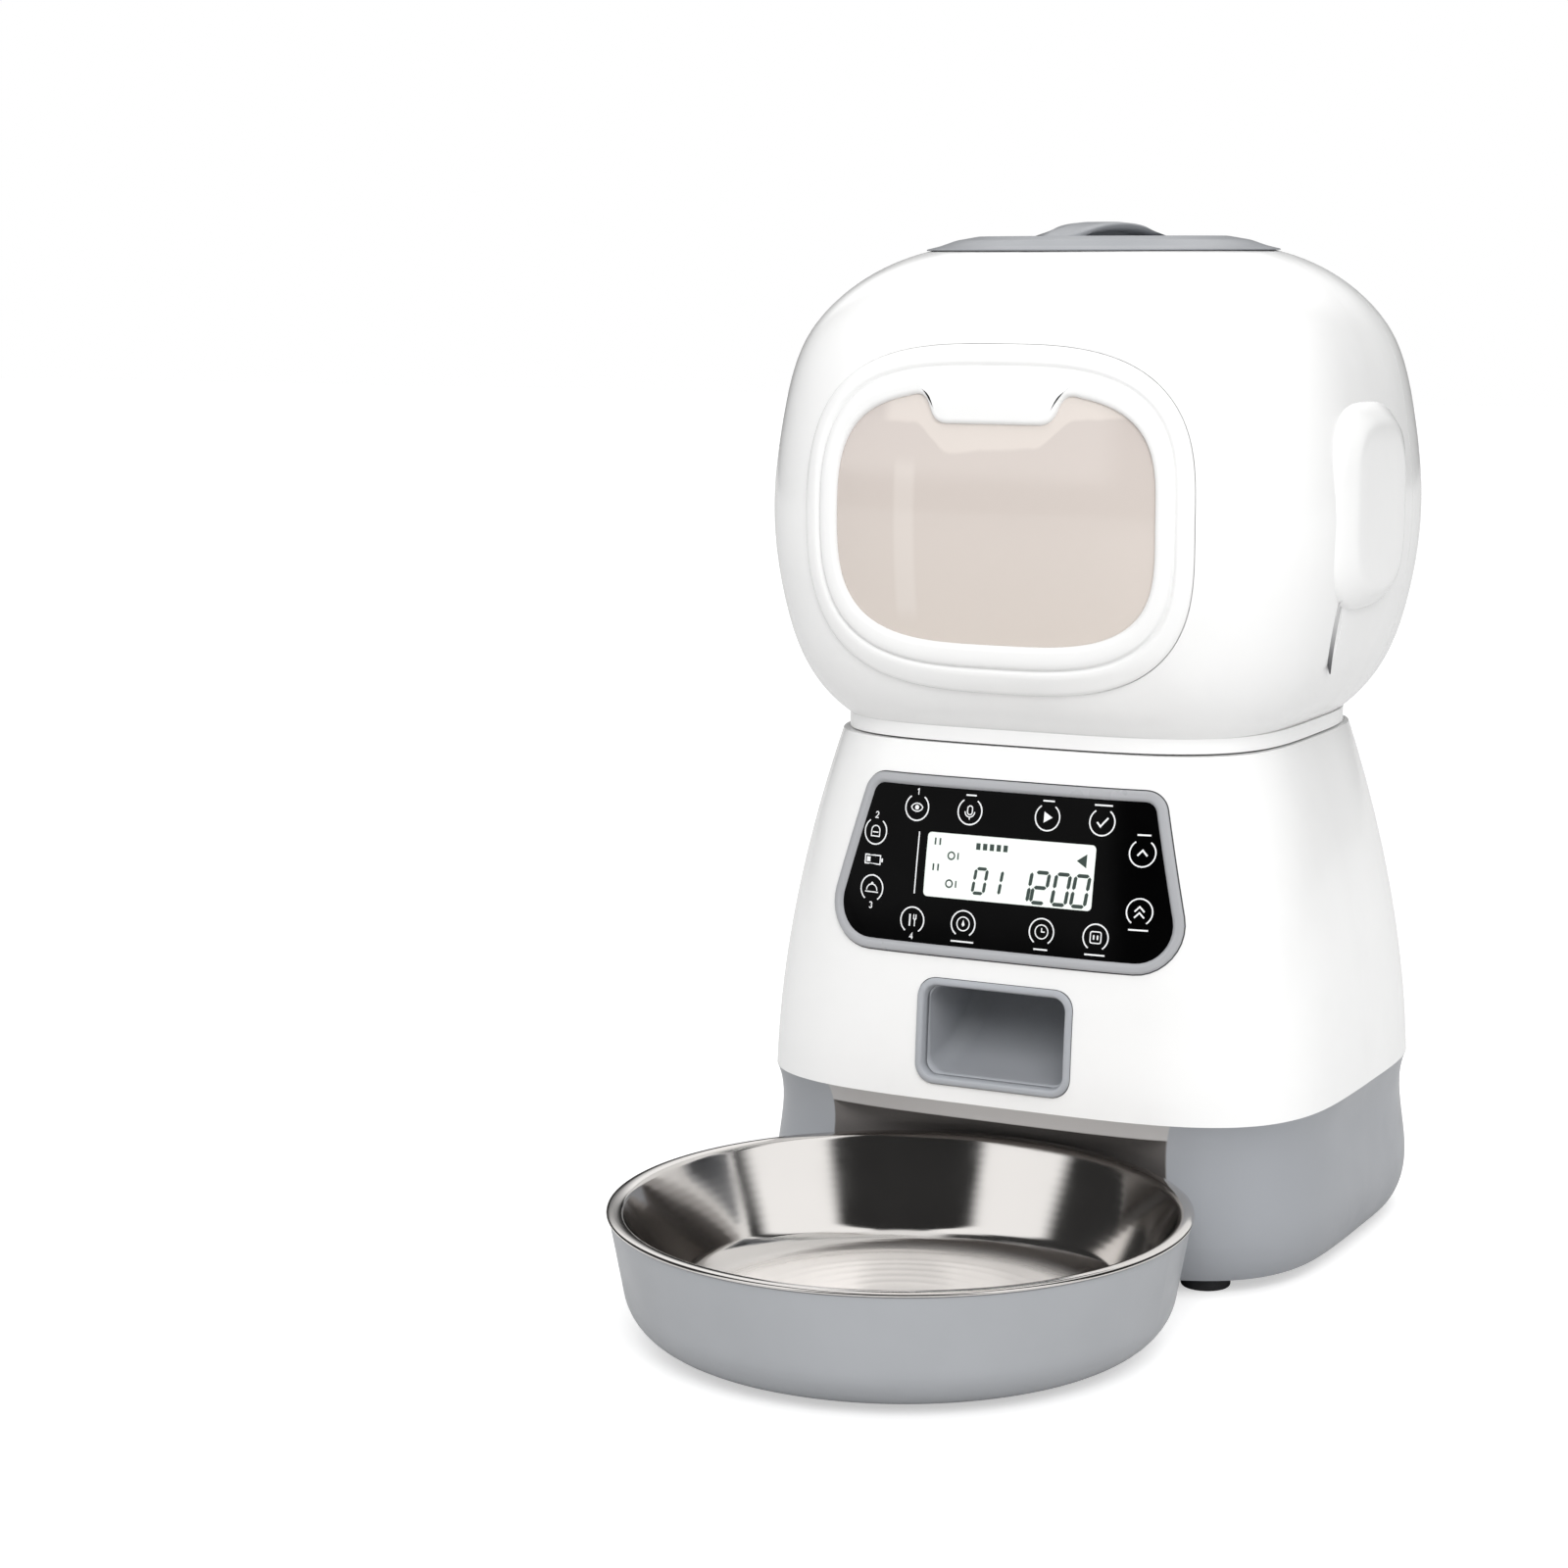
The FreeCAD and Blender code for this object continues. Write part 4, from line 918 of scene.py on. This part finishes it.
# ---- printed marks ----
class Print:
    """Thin printed marks that lie on the front of a CAD node. They stand proud of it by rise,
    and their backs are sunk into it."""
    SUNK = -0.05
    AHEAD_Y = -200.0                # in front of the housing

    def __init__(self, node, rise):
        mesh = frame["nodes"][node].data
        self.tree = BVHTree.FromPolygons([v.co for v in mesh.vertices],
                                         [p.vertices for p in mesh.polygons])
        self.rise = rise
        self.maker = bmesh.new()

    def lay(self, x, z, lift):
        start = point(x, self.AHEAD_Y, z)
        hit = self.tree.ray_cast(start, Vector((0, 1, 0)))[0]
        return self.maker.verts.new(hit - Vector((0, lift * MM, 0)))

    def plate(self, outline):
        low = [self.lay(x, z, self.SUNK) for x, z in outline]
        high = [self.lay(x, z, self.rise) for x, z in outline]
        count = len(outline)
        for i in range(count):
            k = (i + 1) % count
            self.maker.faces.new((low[i], low[k], high[k], high[i]))
        self.maker.faces.new(high)
        self.maker.faces.new(low[::-1])

    def line(self, points, width, closed=False):
        """Line of even width through points."""
        at = np.array(points, float)
        if closed:
            before, after = np.roll(at, 1, 0), np.roll(at, -1, 0)
        else:
            before, after = np.r_[at[:1], at[:-1]], np.r_[at[1:], at[-1:]]
        one, two = at - before, after - at
        one[np.hypot(*one.T) == 0] = two[np.hypot(*one.T) == 0]
        two[np.hypot(*two.T) == 0] = one[np.hypot(*two.T) == 0]
        one /= np.hypot(*one.T)[:, None]
        two /= np.hypot(*two.T)[:, None]
        mitre = one + two
        mitre /= np.hypot(*mitre.T)[:, None]
        stretch = 1 / np.maximum(0.5, (mitre * one).sum(1))
        aside = np.c_[-mitre[:, 1], mitre[:, 0]] * (width / 2 * stretch)[:, None]
        corners = ((1, self.rise), (-1, self.rise), (-1, self.SUNK), (1, self.SUNK))
        rails = []
        for (x, z), (dx, dz) in zip(at, aside):
            rails.append([self.lay(x + side * dx, z + side * dz, lift) for side, lift in corners])
        pairs = list(zip(rails, rails[1:]))
        if closed:
            pairs.append((rails[-1], rails[0]))
        for here, there in pairs:
            for i in range(4):
                k = (i + 1) % 4
                self.maker.faces.new((here[i], here[k], there[k], there[i]))
        if not closed:
            self.maker.faces.new(rails[0][::-1])
            self.maker.faces.new(rails[-1])

    def finish(self, name, surface, slot):
        add(name, made(self.maker, name), slot, "base", surface=surface)


def arc(x, z, radius, start, end, step=12.0):
    """Points along an arc, by directions in degrees."""
    count = max(2, int(abs(end - start) / step)) + 1
    angles = np.radians(np.linspace(start, end, count))
    return [(x + radius * math.cos(a), z + radius * math.sin(a)) for a in angles]


def circle(x, z, radius):
    return arc(x, z, radius, 0, 345, 15.0)


DIGITS = {
    1: [[(-0.35, 0.6), (0.1, 1.0), (0.1, -1.0)]],
    2: [arc(0, 0.45, 0.55, 165, -35, 25) + [(-0.55, -1.0), (0.6, -1.0)]],
    3: [arc(0, 0.5, 0.5, 150, -80, 25), arc(0, -0.45, 0.55, 80, -150, 25)],
    4: [[(0.3, -1.0), (0.3, 1.0), (-0.6, -0.35), (0.65, -0.35)]],
}


def add_key_marks():
    """White rings and signs on the panel, and bars in place of captions."""
    marks = Print("panel_lens", 0.05)
    # middles of the keys above and below the display
    upper = [(-32.7, 149.6), (-13.6, 149.7), (13.6, 149.8), (32.3, 149.6), (46.4, 140.8),
             (-47.4, 140.7)]
    lower = [(47.1, 122.6), (33.4, 113.7), (14.9, 113.9), (-12.6, 114.0), (-30.9, 113.6),
             (-46.9, 122.4)]
    # broken rings, open towards the captions
    for keys, start in ((upper, 125), (lower, -55)):
        for x, z in keys:
            marks.line(arc(x, z, 4.2, start, start + 290), 0.44)

    def at(place, points):
        return [(place[0] + x, place[1] + z) for x, z in points]

    def draw(place, points, width=0.36, closed=False):
        marks.line(at(place, points), width, closed)

    first, voice, play, confirm, hour, second = upper
    minute, portion, clock, timer, fourth, third = lower
    # eye-shaped morning mark
    draw(first, arc(0, -1.1, 2.4, 150, 30) + arc(0, 1.1, 2.4, -30, -150)[1:-1], closed=True)
    marks.plate(at(first, circle(0, 0, 0.75)))
    # microphone
    draw(voice, arc(0, 0.9, 0.85, 0, 180) + arc(0, -0.2, 0.85, 180, 360), closed=True)
    draw(voice, arc(0, -0.1, 1.7, 180, 360))
    draw(voice, [(0, -1.8), (0, -2.6)])
    # play and confirm
    marks.plate(at(play, [(-1.2, 1.75), (-1.2, -1.75), (1.75, 0)]))
    draw(confirm, [(-1.7, -0.1), (-0.5, -1.4), (1.9, 1.4)], 0.55)
    # one chevron for hours, two for minutes
    draw(hour, [(-1.6, -0.8), (0, 0.9), (1.6, -0.8)], 0.55)
    for rise in (-1.0, 0.9):
        draw(minute, [(-1.6, rise - 0.8), (0, rise + 0.8), (1.6, rise - 0.8)], 0.5)
    # bread, covered plate, knife and fork
    crust = [(-1.6, -1.6), (1.6, -1.6), (1.6, 0.2)] + arc(0, 0.2, 1.6, 15, 165) + [(-1.6, 0.2)]
    draw(second, crust, closed=True)
    draw(second, [(-1.1, -0.3), (1.1, -0.3)])
    draw(third, arc(0, -0.7, 2.0, 0, 180))
    draw(third, [(-2.5, -1.2), (2.5, -1.2)])
    marks.plate(at(third, circle(0, 1.6, 0.4)))
    draw(fourth, [(-0.9, -1.9), (-0.9, 1.9)], 0.55)
    draw(fourth, [(0.9, -1.9), (0.9, 0.2), (0.5, 0.5), (0.5, 1.9)])
    draw(fourth, [(0.9, 0.2), (1.3, 0.5), (1.3, 1.9)])
    # two-part dish, clock and timer
    dish = [(-1.8, -1.8, 0.6), (1.8, -1.8, 0.6), (1.8, 1.8, 0.6), (-1.8, 1.8, 0.6)]
    draw(portion, rounded_polygon(dish, 3, 2), closed=True)
    for side in (-0.65, 0.65):
        draw(portion, [(side, -0.7), (side, 0.7)], 0.5)
    draw(clock, circle(0, 0, 2.2), closed=True)
    draw(clock, [(0, 1.2), (0, 0), (1.1, 0)])
    draw(timer, circle(0, 0, 2.2), closed=True)
    marks.plate(at(timer, [(0, 1.3), (-0.55, -0.3), (0, -0.9), (0.55, -0.3)]))
    # the four meals are numbered, and short bars stand for the other keys' captions
    for number, (x, z) in ((1, (-32.7, 154.6)), (2, (-47.4, 146.0)), (3, (-46.9, 117.0)),
                           (4, (-30.9, 108.5))):
        for stroke in DIGITS[number]:
            marks.line([(x + 0.95 * dx, z + 0.95 * dz) for dx, dz in stroke], 0.34)
    for x, z, half in ((-13.6, 154.8, 1.8), (13.6, 154.9, 2.0), (32.3, 154.8, 3.0),
                       (46.4, 146.4, 2.2), (47.1, 117.0, 3.2), (33.4, 108.2, 3.4),
                       (14.9, 108.3, 2.4), (-12.6, 108.3, 4.0)):
        marks.line([(x - half, z), (x + half, z)], 0.5)
    # low battery sign and the line beside the display
    marks.line([(-50.4, 130.2), (-44.6, 130.2), (-44.6, 133.0), (-50.4, 133.0)], 0.4, closed=True)
    marks.plate([(-44.2, 131.0), (-43.6, 131.0), (-43.6, 132.2), (-44.2, 132.2)])
    marks.plate([(-49.8, 130.8), (-48.4, 130.8), (-48.4, 132.4), (-49.8, 132.4)])
    marks.line([(-30.9, 122.2), (-30.9, 130.0), (-30.9, 142.0)], 0.42)
    marks.finish("key_marks", MARK_WHITE, "silver_trim")


SEGMENTS = {"0": "abcdef", "1": "bc", "2": "abged"}
LEAN, UPRIGHT_Z = 0.12, 128.0       # digits lean about this height


def add_display_marks():
    """Digits and signs on the liquid crystal."""
    marks = Print("lcd_display", 0.03)

    def segment(x, z, wide, tall):
        """One bar of a digit, pointed at both ends and leaning like the rest."""
        if wide > tall:
            tip, half = wide / 2, tall / 2
            outline = [(-tip, 0), (-tip + half, -half), (tip - half, -half), (tip, 0),
                       (tip - half, half), (-tip + half, half)]
        else:
            tip, half = tall / 2, wide / 2
            outline = [(0, -tip), (half, -tip + half), (half, tip - half), (0, tip),
                       (-half, tip - half), (-half, -tip + half)]
        return [(x + dx + LEAN * (z + dz - UPRIGHT_Z), z + dz) for dx, dz in outline]

    def digit(name, x, z, wide, tall, bar):
        """Seven-segment digit: each bar's offset, and whether it lies flat."""
        half, quarter = tall / 2, tall / 4
        bars = {"a": (0, half, 1), "g": (0, 0, 1), "d": (0, -half, 1), "b": (wide / 2, quarter, 0),
                "c": (wide / 2, -quarter, 0), "e": (-wide / 2, -quarter, 0),
                "f": (-wide / 2, quarter, 0)}
        for letter in SEGMENTS[name]:
            dx, dz, flat = bars[letter]
            size = (wide - 0.35, bar) if flat else (bar, half - 0.35)
            marks.plate(segment(x + dx, z + dz, *size))

    for name, x in (("0", -8.0), ("1", -2.6)):
        digit(name, x, 128.0, 3.9, 7.8, 1.05)
    for name, x in (("1", 7.2), ("2", 13.2), ("0", 20.4), ("0", 27.0)):
        digit(name, x, 127.6, 4.7, 9.6, 1.2)
    # on and off signs, meal size bar and loudspeaker
    for z in (139.4, 131.2):
        marks.line([(-23.2, z - 1.1), (-23.2, z + 1.1)], 0.6)
        marks.line([(-24.9, z - 1.1), (-24.9, z + 1.1)], 0.6)
    for z in (135.2, 126.3):
        marks.line(circle(-18.8, z, 1.15), 0.5, closed=True)
        marks.line([(-16.4, z - 1.1), (-16.4, z + 1.1)], 0.5)
    for i in range(5):
        x = -10.3 + 2.4 * i
        marks.plate([(x, 137.8), (x + 1.5, 137.8), (x + 1.5, 139.9), (x, 139.9)])
    marks.plate([(24.9, 137.0), (28.3, 134.9), (28.3, 139.3)])
    marks.finish("display_marks", MARK_DARK, "lcd")


add_key_marks()
add_display_marks()


# ---- light and floor ----
def add_floor():
    """Pale floor that glows a little for the camera, so that only soft shadows show."""
    mesh = bpy.data.meshes.new("floor")
    reach = 6.0
    corners = [(-reach, -reach, 0), (reach, -reach, 0), (reach, reach, 0), (-reach, reach, 0)]
    mesh.from_pydata(corners, [], [(0, 1, 2, 3)])
    floor = bpy.data.objects.new("floor", mesh)
    bpy.context.scene.collection.objects.link(floor)
    material = bpy.data.materials.new("floor")
    material.use_nodes = True
    shader = material.node_tree.nodes["Principled BSDF"]
    shader.inputs["Base Color"].default_value = (0.66, 0.66, 0.66, 1)
    shader.inputs["Roughness"].default_value = 0.9
    shader.inputs["Specular IOR Level"].default_value = 0.0
    shader.inputs["Emission Color"].default_value = (1, 1, 1, 1)
    tree = Tree(material.node_tree)
    seen = tree.nodes.new("ShaderNodeLightPath").outputs["Is Camera Ray"]
    tree.links.new(tree.maths("MULTIPLY", seen, 0.50), shader.inputs["Emission Strength"])
    mesh.materials.append(material)


def add_light(name, place, size, power):
    """Soft light that faces the middle of the base."""
    data = bpy.data.lights.new(name, "AREA")
    data.shape = "RECTANGLE"
    data.size, data.size_y = size
    data.energy = power
    light = bpy.data.objects.new(name, data)
    light.location = place
    aim = Vector((0, 0, 0.15)) - light.location
    light.rotation_euler = aim.to_track_quat("-Z", "Y").to_euler()
    light.visible_glossy = False
    bpy.context.scene.collection.objects.link(light)


def add_world():
    """White studio. Soft light comes from all round; gloss sees dark walls with two bright
    panels either side of the camera, under a bright ceiling; the camera sees plain white."""
    world = bpy.data.worlds.new("studio")
    bpy.context.scene.world = world
    world.use_nodes = True
    tree = Tree(world.node_tree)
    maths, nodes = tree.maths, tree.nodes

    def ease(value, low, high, start=0.0, end=1.0):
        return tree.remap(value, low, high, start, end, smooth=True)

    def mix(share, first, second):
        return maths("ADD", maths("MULTIPLY", first, maths("SUBTRACT", 1.0, share)),
                     maths("MULTIPLY", second, share))

    x, y, height = tree.axes(nodes.new("ShaderNodeTexCoord").outputs["Generated"])
    # degrees round from the side that the camera is on, the same either way
    toward = math.radians(-67.5)
    along = maths("ADD", maths("MULTIPLY", x, math.cos(toward)),
                  maths("MULTIPLY", y, math.sin(toward)))
    aside = maths("SUBTRACT", maths("MULTIPLY", y, math.cos(toward)),
                  maths("MULTIPLY", x, math.sin(toward)))
    turn = maths("DEGREES", maths("ABSOLUTE", maths("ARCTAN2", aside, along)))
    panels = maths("MULTIPLY", ease(turn, 33.0, 41.0, 0.02, 1.0),
                   ease(turn, 73.0, 83.0, 1.12, 0.03))
    panels = maths("MULTIPLY", panels, ease(height, 0.05, 0.12, 0.1, 1.0))
    rear = maths("MULTIPLY", ease(turn, 142.0, 154.0, 0.0, 1.1), ease(height, 0.2, 0.42))
    gloss = mix(ease(height, 0.97, 0.996), maths("ADD", panels, rear), 0.95)
    soft = ease(height, 0.2, 0.55, 0.42, 1.03)
    rays = nodes.new("ShaderNodeLightPath").outputs
    level = mix(rays["Is Glossy Ray"], soft, gloss)
    level = mix(rays["Is Camera Ray"], level, 1.0)
    tree.links.new(level, nodes["Background"].inputs["Strength"])
    nodes["Background"].inputs["Color"].default_value = (1, 1, 1, 1)


def add_stage():
    add_floor()
    add_world()
    add_light("key softbox", (0.95, -1.6, 1.5), (1.4, 1.2), 28)
    add_light("top softbox", (0.2, 0.1, 1.9), (1.4, 1.4), 5)
    view = bpy.context.scene.view_settings
    view.view_transform = "Standard"
    view.look = "None"


add_stage()
